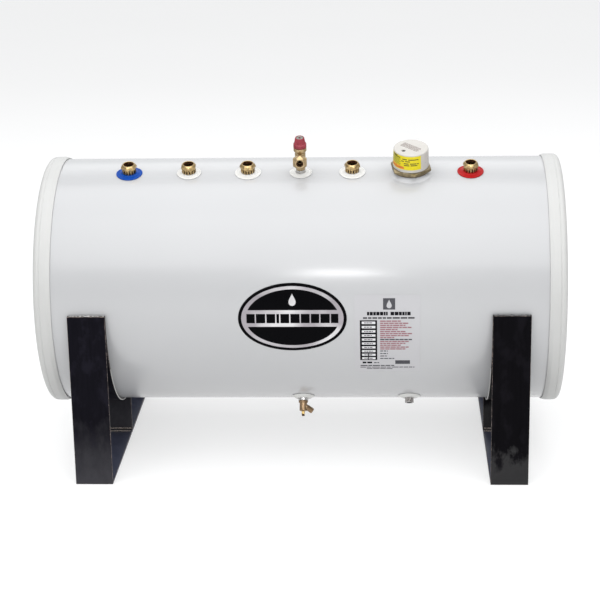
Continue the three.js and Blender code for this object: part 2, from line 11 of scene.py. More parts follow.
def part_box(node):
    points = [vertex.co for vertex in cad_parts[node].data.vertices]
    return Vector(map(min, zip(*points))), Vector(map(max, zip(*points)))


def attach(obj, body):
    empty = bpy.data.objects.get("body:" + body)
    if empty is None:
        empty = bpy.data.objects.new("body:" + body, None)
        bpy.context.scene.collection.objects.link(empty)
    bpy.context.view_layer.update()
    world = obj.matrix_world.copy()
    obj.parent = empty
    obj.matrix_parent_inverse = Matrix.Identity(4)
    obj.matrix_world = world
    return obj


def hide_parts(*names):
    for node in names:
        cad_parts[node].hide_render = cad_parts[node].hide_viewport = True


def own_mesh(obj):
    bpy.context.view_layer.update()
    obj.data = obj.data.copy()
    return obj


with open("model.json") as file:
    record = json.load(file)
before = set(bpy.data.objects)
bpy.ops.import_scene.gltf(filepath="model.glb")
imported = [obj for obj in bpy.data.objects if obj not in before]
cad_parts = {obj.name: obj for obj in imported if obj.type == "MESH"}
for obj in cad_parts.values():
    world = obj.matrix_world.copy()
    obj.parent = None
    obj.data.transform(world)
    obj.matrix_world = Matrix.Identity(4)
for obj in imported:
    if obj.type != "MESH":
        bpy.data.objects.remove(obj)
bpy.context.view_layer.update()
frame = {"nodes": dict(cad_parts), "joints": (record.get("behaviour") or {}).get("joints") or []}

MM = 0.001
JOINTS = {joint["name"]: joint for joint in frame["joints"]}


# ---------------- what the frame says

def centre(node):
    low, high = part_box(node)
    return (low + high) / 2


def size(node):
    low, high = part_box(node)
    return high - low


AXIS = centre("casing")
CASING_R = size("casing").z / 2 / MM
CASING_HALF = size("casing").x / 2 / MM
SEAT = CASING_R + 0.4       # where cover plates, caps and saddles meet the casing
TOP = Vector(JOINTS["cold_inlet_nut_turn"]["axis"])
BOTTOM = Vector(JOINTS["drain_spindle_turn"]["axis"])
OUTLET = Vector(JOINTS["relief_outlet_nut_turn"]["axis"])
ALONG = Vector((1, 0, 0))


def port(x, out, along=ALONG, start=AXIS):
    """Maps a port's own millimetres to metres, with z outwards from the axis and x along the cylinder."""
    across = out.cross(along)
    turn = Matrix((along, across, out)).transposed().to_4x4()
    return Matrix.Translation(Vector((x, start.y, start.z))) @ turn @ Matrix.Scale(MM, 4)


UPRIGHT = port(0, Vector((0, 0, 1)))
SIDEWAYS = Matrix.Rotation(math.pi / 2, 4, "X")

# each pipe port's plate slot, plate radius and the angle of its nut's corner
PIPE_PORTS = {
    "cold_inlet": ("blue_plastic", 29, 18),
    "coil_flow": ("white_plastic", 27, 30),
    "coil_return": ("white_plastic", 29, 6),
    "secondary_return": ("white_plastic", 29, -10),
    "hot_outlet": ("red_plastic", 29, -20),
}


# ---------------- material nodes

def set_range(node, *ends):
    for socket, value in zip(("From Min", "From Max", "To Min", "To Max"), ends):
        node.inputs[socket].default_value = value


class Look:
    """A procedural material. Its patterns are laid out in the object's own space, in metres."""

    def __init__(self, name, colour, roughness=0.5, metallic=0.0, **sockets):
        self.material = bpy.data.materials.new(name)
        self.material.use_nodes = True
        self.tree = self.material.node_tree
        self.shader = next(n for n in self.tree.nodes if n.type == "BSDF_PRINCIPLED")
        self.place = self.add("ShaderNodeTexCoord").outputs["Object"]
        self.set("Base Color", (*colour, 1))
        self.set("Roughness", roughness)
        self.set("Metallic", metallic)
        for socket, value in sockets.items():
            self.set(socket.replace("_", " "), value)
        self.normal = None

    def set(self, socket, value):
        self.shader.inputs[socket].default_value = value

    def add(self, kind, **settings):
        node = self.tree.nodes.new(kind)
        for key, value in settings.items():
            setattr(node, key, value)
        return node

    def link(self, output, node_input):
        self.tree.links.new(output, node_input)

    def stretched(self, stretch):
        node = self.add("ShaderNodeMapping")
        node.inputs["Scale"].default_value = stretch
        self.link(self.place, node.inputs["Vector"])
        return node.outputs["Vector"]

    def noise(self, grain, detail=3, rough=0.55, stretch=None):
        """Cloudy noise with features about grain metres wide."""
        node = self.add("ShaderNodeTexNoise")
        node.inputs["Scale"].default_value = 1 / grain
        node.inputs["Detail"].default_value = detail
        node.inputs["Roughness"].default_value = rough
        self.link(self.stretched(stretch) if stretch else self.place, node.inputs["Vector"])
        return node.outputs["Fac"]

    def ramp(self, value, *stops):
        """Maps a value through (position, colour) stops."""
        node = self.add("ShaderNodeValToRGB")
        elements = node.color_ramp.elements
        while len(elements) < len(stops):
            elements.new(0.5)
        for element, (position, colour) in zip(elements, stops):
            element.position = position
            element.color = (*colour, 1)
        self.link(value, node.inputs["Fac"])
        return node.outputs["Color"]

    def tints(self, value, colour, darkest, lightest, low=0.3, high=0.7):
        """Two shades of one colour, from where the value is low to where it is high."""
        return self.ramp(value, (low, shade(colour, darkest)), (high, shade(colour, lightest)))

    def spread(self, value, low, high, from_low=0.3, from_high=0.7):
        """Maps a value from one range to another."""
        node = self.add("ShaderNodeMapRange")
        set_range(node, from_low, from_high, low, high)
        self.link(value, node.inputs["Value"])
        return node.outputs["Result"]

    def total(self, first, second):
        node = self.add("ShaderNodeMath", operation="ADD")
        self.link(first, node.inputs[0])
        self.link(second, node.inputs[1])
        return node.outputs[0]

    def mix(self, factor, first, second):
        """Blends two colours, each a socket or a colour."""
        node = self.add("ShaderNodeMix", data_type="RGBA")
        self.link(factor, node.inputs["Factor"])
        for name, value in (("A", first), ("B", second)):
            socket = next(s for s in node.inputs if s.name == name and s.type == "RGBA")
            if isinstance(value, bpy.types.NodeSocket):
                self.link(value, socket)
            else:
                socket.default_value = (*value, 1)
        return next(s for s in node.outputs if s.type == "RGBA")

    def position(self, axis):
        """The height, or another coordinate, in metres."""
        node = self.add("ShaderNodeSeparateXYZ")
        self.link(self.place, node.inputs["Vector"])
        return node.outputs[axis]

    def colour(self, output):
        self.link(output, self.shader.inputs["Base Color"])

    def roughness(self, output):
        self.link(output, self.shader.inputs["Roughness"])

    def bump(self, height, distance, strength=1.0):
        """Adds a relief of that many metres to what is there."""
        node = self.add("ShaderNodeBump")
        node.inputs["Distance"].default_value = distance
        node.inputs["Strength"].default_value = strength
        self.link(height, node.inputs["Height"])
        if self.normal:
            self.link(self.normal, node.inputs["Normal"])
        self.normal = node.outputs["Normal"]
        self.link(self.normal, self.shader.inputs["Normal"])


def shade(colour, factor):
    return tuple(min(1, channel * factor) for channel in colour)


def powder_coat(name, colour):
    """Gloss paint on sheet steel: a faint orange peel and slow unevenness."""
    look = Look(name, colour, 0.4, Specular_IOR_Level=0.1, Coat_Weight=1.0, Coat_Roughness=0.21)
    look.colour(look.tints(look.noise(0.35, 2), colour, 0.985, 1.01))
    look.roughness(look.spread(look.noise(0.12, 3), 0.33, 0.4))
    look.bump(look.noise(0.0035, 2, 0.4), 0.00003, 0.5)
    look.bump(look.noise(0.16, 1), 0.0006, 0.35)
    return look.material


def moulded(name, colour, roughness=0.38, grain=0.0006, variation=0.04, shine=0.45):
    """Moulded plastic with a fine grain and faint flow marks."""
    look = Look(name, colour, roughness, Specular_IOR_Level=shine)
    look.colour(look.tints(look.noise(0.02, 4), colour, 1 - variation, 1 + variation, 0.25, 0.75))
    look.roughness(look.spread(look.noise(0.006, 4), roughness - 0.06, roughness + 0.1))
    look.bump(look.noise(grain, 2), 0.00003, 0.5)
    return look.material


def machined_metal(name, colour, dark, roughness=0.28, stretch=(1, 1, 1), grain=0.004, stain=0.5):
    """Bare metal with tool marks, handling stains and darker tarnish in patches."""
    look = Look(name, colour, roughness, 1.0)
    patches = look.noise(grain, 5, 0.65)
    fine = look.noise(0.0008, 3, 0.6, stretch)
    clean = look.tints(fine, colour, 0.86, 1.1, 0.2, 0.8)
    look.colour(look.mix(look.spread(patches, 0, stain, 0.42, 0.75), clean, dark))
    look.roughness(look.spread(patches, roughness - 0.08, roughness + 0.16))
    look.bump(fine, 0.00004, 0.4)
    return look.material


def brushed_paint(name, black, dusty, dust_height, shine=0.02):
    """Black brushed-on paint: upright strokes, blotches, and grey dust below the two dust heights."""
    look = Look(name, black, 0.36, Specular_IOR_Level=shine)
    strokes = look.noise(0.005, 4, 0.6, (1, 1, 0.05))
    blots = look.noise(0.035, 5, 0.65, (1, 1, 0.6))
    painted = look.tints(strokes, black, 0.85, 1.25)
    painted = look.mix(look.spread(blots, 0, 0.9, 0.5, 0.62), painted, shade(black, 2.0))
    ragged = look.total(look.position("Z"), look.spread(blots, -0.03, 0.03, 0.35, 0.65))
    height = look.spread(ragged, 1, 0, *dust_height)
    dusted = look.mix(blots, dusty, shade(dusty, 1.5))
    look.colour(look.mix(height, painted, dusted))
    look.roughness(look.spread(blots, 0.28, 0.5))
    look.bump(strokes, 0.00012, 0.4)
    return look.material


def worn_edge():
    """The rounded edge of painted bar, rubbed to brownish primer and grey steel in places."""
    look = Look("worn_edge", (0.05, 0.045, 0.045), 0.4, Specular_IOR_Level=0.3)
    wear = look.noise(0.006, 5, 0.7)
    black, primer, steel = (0.01, 0.01, 0.012), (0.08, 0.06, 0.055), (0.3, 0.24, 0.21)
    look.colour(look.ramp(wear, (0.4, black), (0.52, primer), (0.68, steel)))
    look.roughness(look.spread(wear, 0.35, 0.55))
    look.bump(wear, 0.0002, 0.5)
    return look.material


def weld_metal(name, colour, bright):
    """A weld bead: scaly, partly under paint, with bright flecks that are painted glints."""
    look = Look(name, colour, 0.45, 0.3)
    scale = look.noise(0.0024, 5, 0.75)
    look.colour(look.ramp(scale, (0.4, shade(colour, 0.12)), (0.5, colour), (0.6, bright)))
    look.roughness(look.spread(scale, 0.3, 0.6))
    look.bump(scale, 0.0005, 0.8)
    return look.material


def foil(name, dull, bright):
    """Silver printed film: a fine horizontal brush, and a slow change from dull to bright across it that
    is a painted sheen.
    """
    look = Look(name, dull, 0.3, 0.75)
    # The slow dull-to-bright change is a painted sheen.
    sweep = look.noise(0.09, 2, 0.4)
    brush = look.noise(0.0012, 3, 0.6, (0.05, 1, 1))
    lighter = look.tints(brush, bright, 0.92, 1)
    darker = look.tints(brush, dull, 0.92, 1)
    look.colour(look.mix(look.spread(sweep, 0, 1, 0.42, 0.6), darker, lighter))
    look.roughness(look.spread(look.noise(0.04, 2), 0.26, 0.42))
    return look.material


def printed(name, colour, roughness=0.35, fade=0.12, dots=0.0009, shine=0.3):
    """Ink on film, with the slight unevenness of a print."""
    look = Look(name, colour, roughness, Specular_IOR_Level=shine)
    look.colour(look.tints(look.noise(dots, 2), colour, 1 - fade, 1 + fade))
    look.roughness(look.spread(look.noise(0.02, 3), roughness - 0.07, roughness + 0.08))
    return look.material


def fibrous(name, colour, grain, depth, roughness=0.9):
    """Foam, gasket fibre or rubber: a rough, mottled surface."""
    look = Look(name, colour, roughness)
    cloud = look.noise(grain, 5, 0.7)
    look.colour(look.tints(cloud, colour, 0.75, 1.15))
    look.roughness(look.spread(cloud, roughness - 0.1, min(1, roughness + 0.05)))
    look.bump(cloud, depth, 0.8)
    return look.material


LOOKS = {
    "casing": powder_coat("casing_paint", (0.425, 0.428, 0.436)),
    "cap": moulded("cap_plastic", (0.462, 0.463, 0.455), 0.42, 0.0012, 0.01),
    "white": moulded("white_plastic", (0.59, 0.588, 0.572), 0.35, variation=0.015),
    "cover": moulded("cover_plastic", (0.475, 0.458, 0.43), 0.32, 0.0009, 0.015),
    "blue": moulded("blue_plastic", (0.0025, 0.052, 0.3), 0.3, variation=0.12, shine=0.1),
    "red": moulded("red_plastic", (0.34, 0.009, 0.01), 0.3, variation=0.12, shine=0.1),
    "knob": moulded("red_knob_plastic", (0.26, 0.024, 0.04), 0.42, 0.0008, 0.15),
    "brass": machined_metal("brass", (0.58, 0.42, 0.205), (0.16, 0.1, 0.035), 0.26),
    "valve_brass": machined_metal(
        "valve_brass", (0.52, 0.39, 0.22), (0.24, 0.16, 0.08), 0.32, grain=0.006),
    "aged_brass": machined_metal(
        "aged_brass", (0.29, 0.235, 0.14), (0.085, 0.065, 0.04), 0.34, grain=0.012, stain=0.8),
    "cock_brass": machined_metal(
        "cock_brass", (0.36, 0.25, 0.15), (0.14, 0.08, 0.045), 0.36, grain=0.005, stain=0.7),
    # Dark brass: painted shade in bores, sleeves and the collars' gaps, and the drain spindle's tip.
    "dark_brass_and_shade": machined_metal("dark_brass_and_shade", (0.09, 0.06, 0.035), (0.03, 0.02, 0.014), 0.5),
    "disc_steel": machined_metal("disc_steel", (0.3, 0.32, 0.29), (0.12, 0.13, 0.11), 0.4),
    "spindle_brass": machined_metal("spindle_brass", (0.42, 0.3, 0.12), (0.2, 0.13, 0.05), 0.3),
    "polished": machined_metal(
        "polished_steel", (0.5, 0.48, 0.47), (0.06, 0.045, 0.04), 0.1, (1, 1, 0.1), 0.005, 0.95),
    "copper": machined_metal("copper", (0.78, 0.4, 0.24), (0.3, 0.13, 0.07), 0.3),
    "steel": machined_metal("stainless", (0.62, 0.61, 0.6), (0.3, 0.28, 0.26), 0.26, (1, 1, 6)),
    "vessel": machined_metal(
        "vessel_steel", (0.6, 0.59, 0.58), (0.38, 0.33, 0.27), 0.32, (0.1, 1, 1), 0.08, 0.4),
    "spring": machined_metal("spring_steel", (0.45, 0.46, 0.48), (0.2, 0.19, 0.18), 0.3),
    "screw": machined_metal("screw_steel", (0.12, 0.12, 0.12), (0.05, 0.04, 0.035), 0.35),
    "foam": fibrous("foam", (0.74, 0.6, 0.3), 0.006, 0.0012),
    "fibre": fibrous("fibre_gasket", (0.075, 0.05, 0.035), 0.0015, 0.0002),
    "rubber": fibrous("rubber", (0.018, 0.018, 0.019), 0.001, 0.0001, 0.7),
    "phenolic": moulded("phenolic", (0.025, 0.02, 0.018), 0.4, variation=0.2, shine=0.2),
    "paint": brushed_paint("black_paint", (0.0049, 0.0046, 0.007), (0.036, 0.0352, 0.04), (0.0, 0.14)),
    "clean_paint": brushed_paint(
        "clean_black_paint", (0.003, 0.0027, 0.0036), (0.024, 0.0235, 0.0245), (0.05, 0.075)),
    # A lighter, bluer copy of the black paint for the rear bars: a painted sheen where their faces catch
    # the light.
    "lit_copy_black": brushed_paint(
        "lit_copy_black_paint", (0.03, 0.033, 0.05), (0.036, 0.04, 0.064), (0.0, 0.3), 0.5),
    "edge": worn_edge(),
    # The bright stop of each weld is a painted glint; the darker copy below has fainter painted glints.
    "weld": weld_metal("weld", (0.12, 0.115, 0.11), (0.75, 0.74, 0.72)),
    "dull_weld": weld_metal("dull_weld", (0.05, 0.05, 0.052), (0.3, 0.3, 0.3)),
    "brown_weld": weld_metal("brown_weld", (0.2, 0.17, 0.15), (0.5, 0.44, 0.4)),
    # Pale strips for the bands' edges: a painted highlight where each edge catches the light.
    "painted_highlight": moulded("painted_highlight_strip", (0.6, 0.6, 0.59), 0.6, variation=0.02),
    "black_film": printed("black_film", (0.0022, 0.0022, 0.0028), 0.3, 0.2, shine=0.02),
    # The silver's dull and bright shades paint its sheen.
    "silver_film": foil("silver_film", (0.36, 0.335, 0.36), (0.66, 0.65, 0.66)),
    "label_film": powder_coat("label_film", (0.427, 0.424, 0.438)),
    "black_ink": printed("black_ink", (0.009, 0.0085, 0.0105), 0.4, 0.3, shine=0.03),
    "grey_ink": printed("grey_ink", (0.07, 0.07, 0.078), 0.4, 0.25, shine=0.05),
    "red_ink": printed("red_ink", (0.26, 0.12, 0.135), 0.4, 0.15),
    "white_ink": printed("white_ink", (0.62, 0.62, 0.635), 0.4, 0.03),
    "yellow_film": printed("yellow_film", (0.66, 0.55, 0.01), 0.35, 0.04, 0.004),
    "green_ink": printed("green_ink", (0.26, 0.26, 0.02), 0.4, 0.15),
    "orange_ink": printed("orange_ink", (0.58, 0.15, 0.03), 0.4, 0.2, 0.004),
    "olive_ink": printed("olive_ink", (0.07, 0.065, 0.01), 0.4, 0.3),
    "taupe_ink": printed("taupe_ink", (0.2, 0.165, 0.15), 0.4, 0.15),
}


# ---------------- shapes

def loft(rings, loop=False, sides=None):
    """A mesh through rings of points. A ring of one point is a tip, and an open end is capped.
    loop joins the last ring to the first. sides gives a material index for each side of a ring."""
    mesh = bmesh.new()
    rows = [[mesh.verts.new(point) for point in ring] for ring in rings]
    pairs = list(zip(rows, rows[1:] + rows[:1])) if loop else list(zip(rows, rows[1:]))
    for low, high in pairs:
        count = max(len(low), len(high))
        for i in range(count):
            j = (i + 1) % count
            corners = [low[i % len(low)], low[j % len(low)], high[j % len(high)], high[i % len(high)]]
            corners = list(dict.fromkeys(corners))
            if len(corners) > 2:
                face = mesh.faces.new(corners)
                face.material_index = sides[i] if sides else 0
    if not loop:
        for end in (rows[0], rows[-1]):
            if len(end) > 2:
                mesh.faces.new(end)
    bmesh.ops.recalc_face_normals(mesh, faces=mesh.faces)
    return mesh


def rounded(outline, steps=4):
    """Replaces each corner of a closed outline that carries a third value by an arc of that radius."""
    points = []
    for i, (x, y, *radius) in enumerate(outline):
        here = Vector((x, y))
        if not radius:
            points.append(here)
            continue
        before = (Vector(outline[i - 1][:2]) - here).normalized()
        after = (Vector(outline[(i + 1) % len(outline)][:2]) - here).normalized()
        half = before.angle(after) / 2
        middle = here + (before + after).normalized() * radius[0] / math.sin(half)
        first = here + before * radius[0] / math.tan(half) - middle
        last = here + after * radius[0] / math.tan(half) - middle
        sweep = first.angle(last)
        for k in range(steps + 1):
            share = k / steps
            arm = first * math.sin((1 - share) * sweep) + last * math.sin(share * sweep)
            points.append(middle + arm / math.sin(sweep))
    return points


def polar(radius, angle, height):
    return Vector((radius * math.cos(angle), radius * math.sin(angle), height))


def ring_of(radius, height, steps):
    """radius and height are numbers, or functions of the angle."""
    angles = [2 * math.pi * i / steps for i in range(steps)]
    r = radius if callable(radius) else lambda _: radius
    z = height if callable(height) else lambda _: height
    return [polar(r(angle), angle, z(angle)) for angle in angles]


def rings_of(steps, *levels):
    """A ring for each (radius, height)."""
    return [ring_of(radius, height, steps) for radius, height in levels]


def revolve(outline, steps=72, arc_steps=4):
    """Turns a closed [radius, z] outline about the z axis."""
    points = rounded(outline, arc_steps)
    on_axis = [point.x < 1e-6 for point in points]
    if any(on_axis):
        while not (on_axis[0] and not on_axis[-1]) and not (on_axis[0] and on_axis[-1] and not on_axis[1]):
            points, on_axis = points[1:] + points[:1], on_axis[1:] + on_axis[:1]
    rings = [[Vector((0, 0, p.y))] if p.x < 1e-6 else ring_of(p.x, p.y, steps) for p in points]
    return loft(rings, loop=not any(on_axis))


def rod(radius, low, high, steps=32):
    return revolve([(0, low), (radius, low), (radius, high), (0, high)], steps)


def threaded(inner, outer, foot, top, depth, pitch, steps=72):
    """A tube with a screw thread on its outside."""
    def radius_at(height):
        fade = min(1, (height - foot) / pitch, (top - height) / pitch)

        def radius(angle):
            turns = height / pitch - angle / (2 * math.pi)
            return outer - depth * fade * abs(2 * (turns % 1) - 1)

        return radius

    count = round((top - foot) / pitch * 6)
    heights = [foot + (top - foot) * i / count for i in range(count + 1)]
    flanks = [(radius_at(height), height) for height in heights]
    return loft(rings_of(steps, (inner, foot), *flanks, (inner, top)), loop=True)


def hexagon_radius(flats, rounding, turn):
    """A rounded hexagon's radius, as a function of the angle. turn is one corner's angle in degrees."""
    sector = math.pi / 3
    arc_centre = (flats / 2 - rounding) / math.cos(sector / 2)
    arc_end = math.atan2(rounding * math.sin(sector / 2), arc_centre + rounding * math.cos(sector / 2))

    def radius(angle):
        off = abs((angle - math.radians(turn) + sector / 2) % sector - sector / 2)
        if off > arc_end:
            return flats / 2 / math.cos(sector / 2 - off)
        return arc_centre * math.cos(off) + math.sqrt(rounding**2 - (arc_centre * math.sin(off)) ** 2)

    return radius


def joined(*meshes, indices=None):
    """Puts separate bodies in one mesh. indices gives each one's material, or None to keep its own."""
    result = bmesh.new()
    for k, part in enumerate(meshes):
        if indices and indices[k] is not None:
            for face in part.faces:
                face.material_index = indices[k]
        data = bpy.data.meshes.new("part")
        part.to_mesh(data)
        part.free()
        result.from_mesh(data)
        bpy.data.meshes.remove(data)
    return result


def moved(mesh, x=0, y=0, z=0, turn=None):
    if turn:
        bmesh.ops.transform(mesh, matrix=turn, verts=mesh.verts)
    bmesh.ops.translate(mesh, vec=(x, y, z), verts=mesh.verts)
    return mesh


def boolean(operation, base, *tools):
    """Cuts or joins closed meshes with Blender's exact solver."""
    holders = []
    for shape in (base, *tools):
        data = bpy.data.meshes.new("shape")
        shape.to_mesh(data)
        shape.free()
        holder = bpy.data.objects.new("shape", data)
        bpy.context.scene.collection.objects.link(holder)
        holders.append(holder)
    for tool in holders[1:]:
        modifier = holders[0].modifiers.new("boolean", "BOOLEAN")
        modifier.operation = operation
        modifier.solver = "EXACT"
        modifier.object = tool
    result = bmesh.new()
    result.from_object(holders[0], bpy.context.evaluated_depsgraph_get())
    for holder in holders:
        bpy.data.meshes.remove(holder.data)
    return result


def cut(base, *tools):
    return boolean("DIFFERENCE", base, *tools)


def fused(base, *others):
    return boolean("UNION", base, *others)


def plate(low, high, rounding, edge_index=0, segments=3):
    """A bar of flat stock between two corners, its edges rounded and given their own material."""
    mesh = bmesh.new()
    bmesh.ops.create_cube(mesh, size=1)
    low, high = Vector(low), Vector(high)
    place = Matrix.Translation((low + high) / 2) @ Matrix.Diagonal((*(high - low), 1))
    bmesh.ops.transform(mesh, matrix=place, verts=mesh.verts)
    bmesh.ops.bevel(mesh, geom=mesh.edges[:], offset=rounding, segments=segments, profile=0.5,
                    affect="EDGES", material=edge_index)
    return mesh


def bead(start, end, radius, seed, unevenness=0.3, ripple=2.4):
    """A weld bead: overlapping ripples along a seam, in millimetres."""
    rng = random.Random(seed)
    start, end = Vector(start), Vector(end)
    along = (end - start).normalized()
    up = Vector((0, 0, 1)) if abs(along.z) < 0.5 else Vector((0, 1, 0))
    across = along.cross(up).normalized()
    length = (end - start).length
    count = max(8, round(length / 0.6))
    swell = [rng.uniform(1 - unevenness, 1 + unevenness) for _ in range(int(length / ripple) + 2)]
    rings = [[start]]
    for i in range(1, count):
        here = length * i / count
        step, share = divmod(here / ripple, 1)
        size_here = radius * (swell[int(step)] * (1 - share) + swell[int(step) + 1] * share)
        size_here *= 0.78 + 0.22 * math.sin(math.pi * share)
        size_here *= min(1, here / radius + 0.3, (length - here) / radius + 0.3)
        middle = start + along * here
        angles = [2 * math.pi * k / 12 for k in range(12)]
        rings.append([middle + (across * math.cos(a) + up * math.sin(a)) * size_here for a in angles])
    rings.append([end])
    return loft(rings)


# ---------------- placing pieces

def painted_bore_shade(mesh, radius, foot, top):
    """Gives the walls of a bore, facing its axis, the second look, a painted shade."""
    for face in mesh.faces:
        middle = face.calc_center_median()
        inward = face.normal.x * middle.x + face.normal.y * middle.y < 0
        if inward and foot < middle.z < top and math.hypot(middle.x, middle.y) < radius:
            face.material_index = 1
    return mesh


def piece(name, mesh, looks, place=None, replaces=(), body="cylinder", sharp=35):
    """Makes a piece of a mesh in a port's own millimetres, or the whole object's. sharp is in degrees."""
    data = bpy.data.meshes.new(name)
    mesh.to_mesh(data)
    mesh.free()
    data.transform(place if place is not None else Matrix.Scale(MM, 4))
    data.shade_smooth()
    data.set_sharp_from_angle(angle=math.radians(sharp))
    for look in [looks] if isinstance(looks, str) else looks:
        data.materials.append(LOOKS[look])
    made = bpy.data.objects.new(name, data)
    bpy.context.scene.collection.objects.link(made)
    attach(made, body)
    if replaces:
        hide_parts(*replaces)
    return made


def dress(look, *nodes):
    """Gives carried-over CAD nodes their material."""
    for name in nodes:
        data = frame["nodes"][name].data
        data.materials.clear()
        data.materials.append(LOOKS[look])


def hug(mesh, radius, start=0):
    """Bends a flat plate so that it lies on the cylinder, along the port's y."""
    for vertex in mesh.verts:
        y = max(-radius, min(radius, vertex.co.y))
        share = min(1, max(0, (vertex.co.xy.length - start) / 6))
        vertex.co.z -= (radius - math.sqrt(radius**2 - y**2)) * share
    return mesh


# ---------------- cylinder shells

SIDES = 160
ROUND_X = Matrix.Rotation(math.pi / 2, 4, "Y")


def make_casing():
    inner = CASING_R - 0.8
    shell = revolve([(inner, -CASING_HALF), (CASING_R, -CASING_HALF, 0.3), (CASING_R, CASING_HALF, 0.3),
                     (inner, CASING_HALF)], SIDES, 2)
    moved(shell, turn=ROUND_X)
    openings = [(name + "_tail", TOP, 12.6) for name in PIPE_PORTS]
    openings += [("relief_tail", TOP, 11), ("heater_boss", TOP, 38.6), ("drain_tail", BOTTOM, 11.8),
                 ("sensor_pocket", BOTTOM, 10.6)]
    holes = [moved(rod(radius, 200, 300), turn=UPRIGHT.inverted() @ port(centre(node).x, out))
             for node, out, radius in openings]
    piece("casing_shell", cut(shell, *holes), "casing", UPRIGHT, ["casing"])


def make_cap(node, side):
    """A moulded cup with a soft rim, a shallow step round its end and a thin lip over the casing."""
    low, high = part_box(node)
    radius = (high.z - low.z) / 2 / MM
    end = max(abs(low.x), abs(high.x)) / MM
    lip = min(abs(low.x), abs(high.x)) / MM
    wall, recess_radius, recess = 3.5, 233, 2.5
    groove = end - 14
    floor = end - recess
    outline = [
        (SEAT, lip), (SEAT + 2, lip, 0.8), (radius, lip + 9, 7), (radius, groove - 1.2, 0.4),
        (radius - 0.9, groove - 0.6, 0.3), (radius - 0.9, groove + 0.6, 0.3),
        (radius - 0.3, groove + 1.2, 0.4), (radius - 0.8, end, 10.5), (recess_radius, end, 2),
        (recess_radius - recess, floor, 2), (0, floor), (0, floor - wall), (radius - 16, floor - wall),
        (SEAT, CASING_HALF),
    ]
    cap = moved(revolve(outline, SIDES, 7), turn=Matrix.Rotation(math.pi / 2 * side, 4, "Y"))
    piece(node + "_shell", cap, "cap", UPRIGHT, [node])


# ---------------- compression fittings

# a nut's mouth is the height of the pipe socket's rim; its skirt hangs below and its crown stands above
PIPE_22 = dict(mouth=293.2, skirt=6.7, crown=6, thread=13.8, bore=11.4, flats=31, rim=13.4)
PIPE_15 = dict(mouth=25, skirt=9, crown=6, thread=9.7, bore=7.8, flats=30, rim=10.8)
# Each pair's second look paints shade into bores and gaps.
BRASS, VALVE_BRASS = ["brass", "dark_brass_and_shade"], ["valve_brass", "dark_brass_and_shade"]


def nut_mesh(fitting, turn, rounding=0.7, steps=120):
    """A hexagon nut with a conical crown and chamfered corners."""
    foot, top = fitting["mouth"] - fitting["skirt"] + 2.2, fitting["mouth"] + fitting["crown"]
    rim, bore, clear = fitting["rim"], fitting["bore"], fitting["thread"] + 0.5
    hexagon = hexagon_radius(fitting["flats"], rounding, turn)
    corner = fitting["flats"] / math.sqrt(3)
    slope = fitting["crown"] * 0.78 / (corner - rim)
    chamfer = fitting["flats"] / 2 - 0.1

    def crown(angle):
        return top - 0.4 - (hexagon(angle) - rim) * slope

    return loft(rings_of(
        steps, (clear + 0.6, foot), (lambda a: min(hexagon(a), chamfer), foot),
        (hexagon, lambda a: foot + 0.3 + max(0, hexagon(a) - chamfer) * 0.5),
        (hexagon, lambda a: crown(a) - 0.4), (lambda a: hexagon(a) - 0.25, lambda a: crown(a) + 0.25),
        (rim + 0.25, top - 0.75), (rim, top - 0.35), (rim - 0.35, top), (bore + 0.6, top),
        (bore + 0.15, top - 0.25), (bore, top - 0.7), (bore, fitting["mouth"] + fitting["crown"] * 0.68),
        (clear, fitting["mouth"] + fitting["crown"] * 0.3), (clear, foot + 0.6)), loop=True)


def turned_nut(fitting, turn, foot):
    """A nut with painted shade in its bore."""
    crown = fitting["mouth"] + fitting["crown"]
    return painted_bore_shade(nut_mesh(fitting, turn), fitting["bore"] + 2, foot, crown - 0.8)


def toothed_collar(inner, outer, foot, top, teeth=16, steps=224):
    """A ring whose rim is cut into square teeth. The gaps take the second look, a painted shade."""
    def gap(angle):
        return min(1, max(0, 0.5 - math.cos(angle * teeth) * 3))

    def rim(angle):
        return outer - 2.6 * gap(angle)

    rings = rings_of(steps, (inner, foot), (rim, foot), (rim, top - 0.4), (lambda a: rim(a) - 0.4, top),
                     (inner, top))
    middles = [2 * math.pi * (i + 0.5) / steps for i in range(steps)]
    return loft(rings, loop=True, sides=[round(gap(angle)) for angle in middles])


def rosette_mesh(inner, outer, hub=3.2):
    """A cover plate with a rounded rim, a shallow groove and a raised hub."""
    return hug(revolve([
        (inner, SEAT), (outer, SEAT, 0.5), (outer, SEAT + 1.7, 0.7), (outer - 2.2, SEAT + 2.2, 0.8),
        (outer - 3.2, SEAT + 1.3, 0.6), (inner + 6.5, SEAT + hub - 1.0, 1.5), (inner + 5, SEAT + hub, 0.6),
        (inner, SEAT + hub, 0.3)], 96), SEAT, inner + 2)


def make_pipe_port(name, colour, outer, turn):
    place = port(centre(name + "_tail").x, TOP)
    steel = revolve([
        (9.5, 221), (12, 221), (12, 280), (13.4, 280), (13.4, 286), (11.2, 286),
        (11.2, 284.5), (9.5, 284.5)], 64)
    thread = threaded(inner=11.2, outer=13.75, foot=286, top=293.2, depth=0.75, pitch=1.5)
    collar = toothed_collar(inner=12.1, outer=15.5, foot=279.6, top=288.2)
    # The steel sleeve and the collar's gaps take the dark look, a painted shade.
    piece(name + "_fitting", joined(steel, thread, collar, indices=[1, 0, None]), BRASS,
          place, [name + "_tail"])
    piece(name + "_turned_nut", turned_nut(PIPE_22, turn, 280), BRASS, place, [name + "_nut"],
          body=name + "_nut")
    piece(name + "_cover_plate", rosette_mesh(12.4, outer), colour.split("_")[0], place,
          [name + "_rosette"])
    dress("copper", name + "_olive")


# ---------------- relief valve

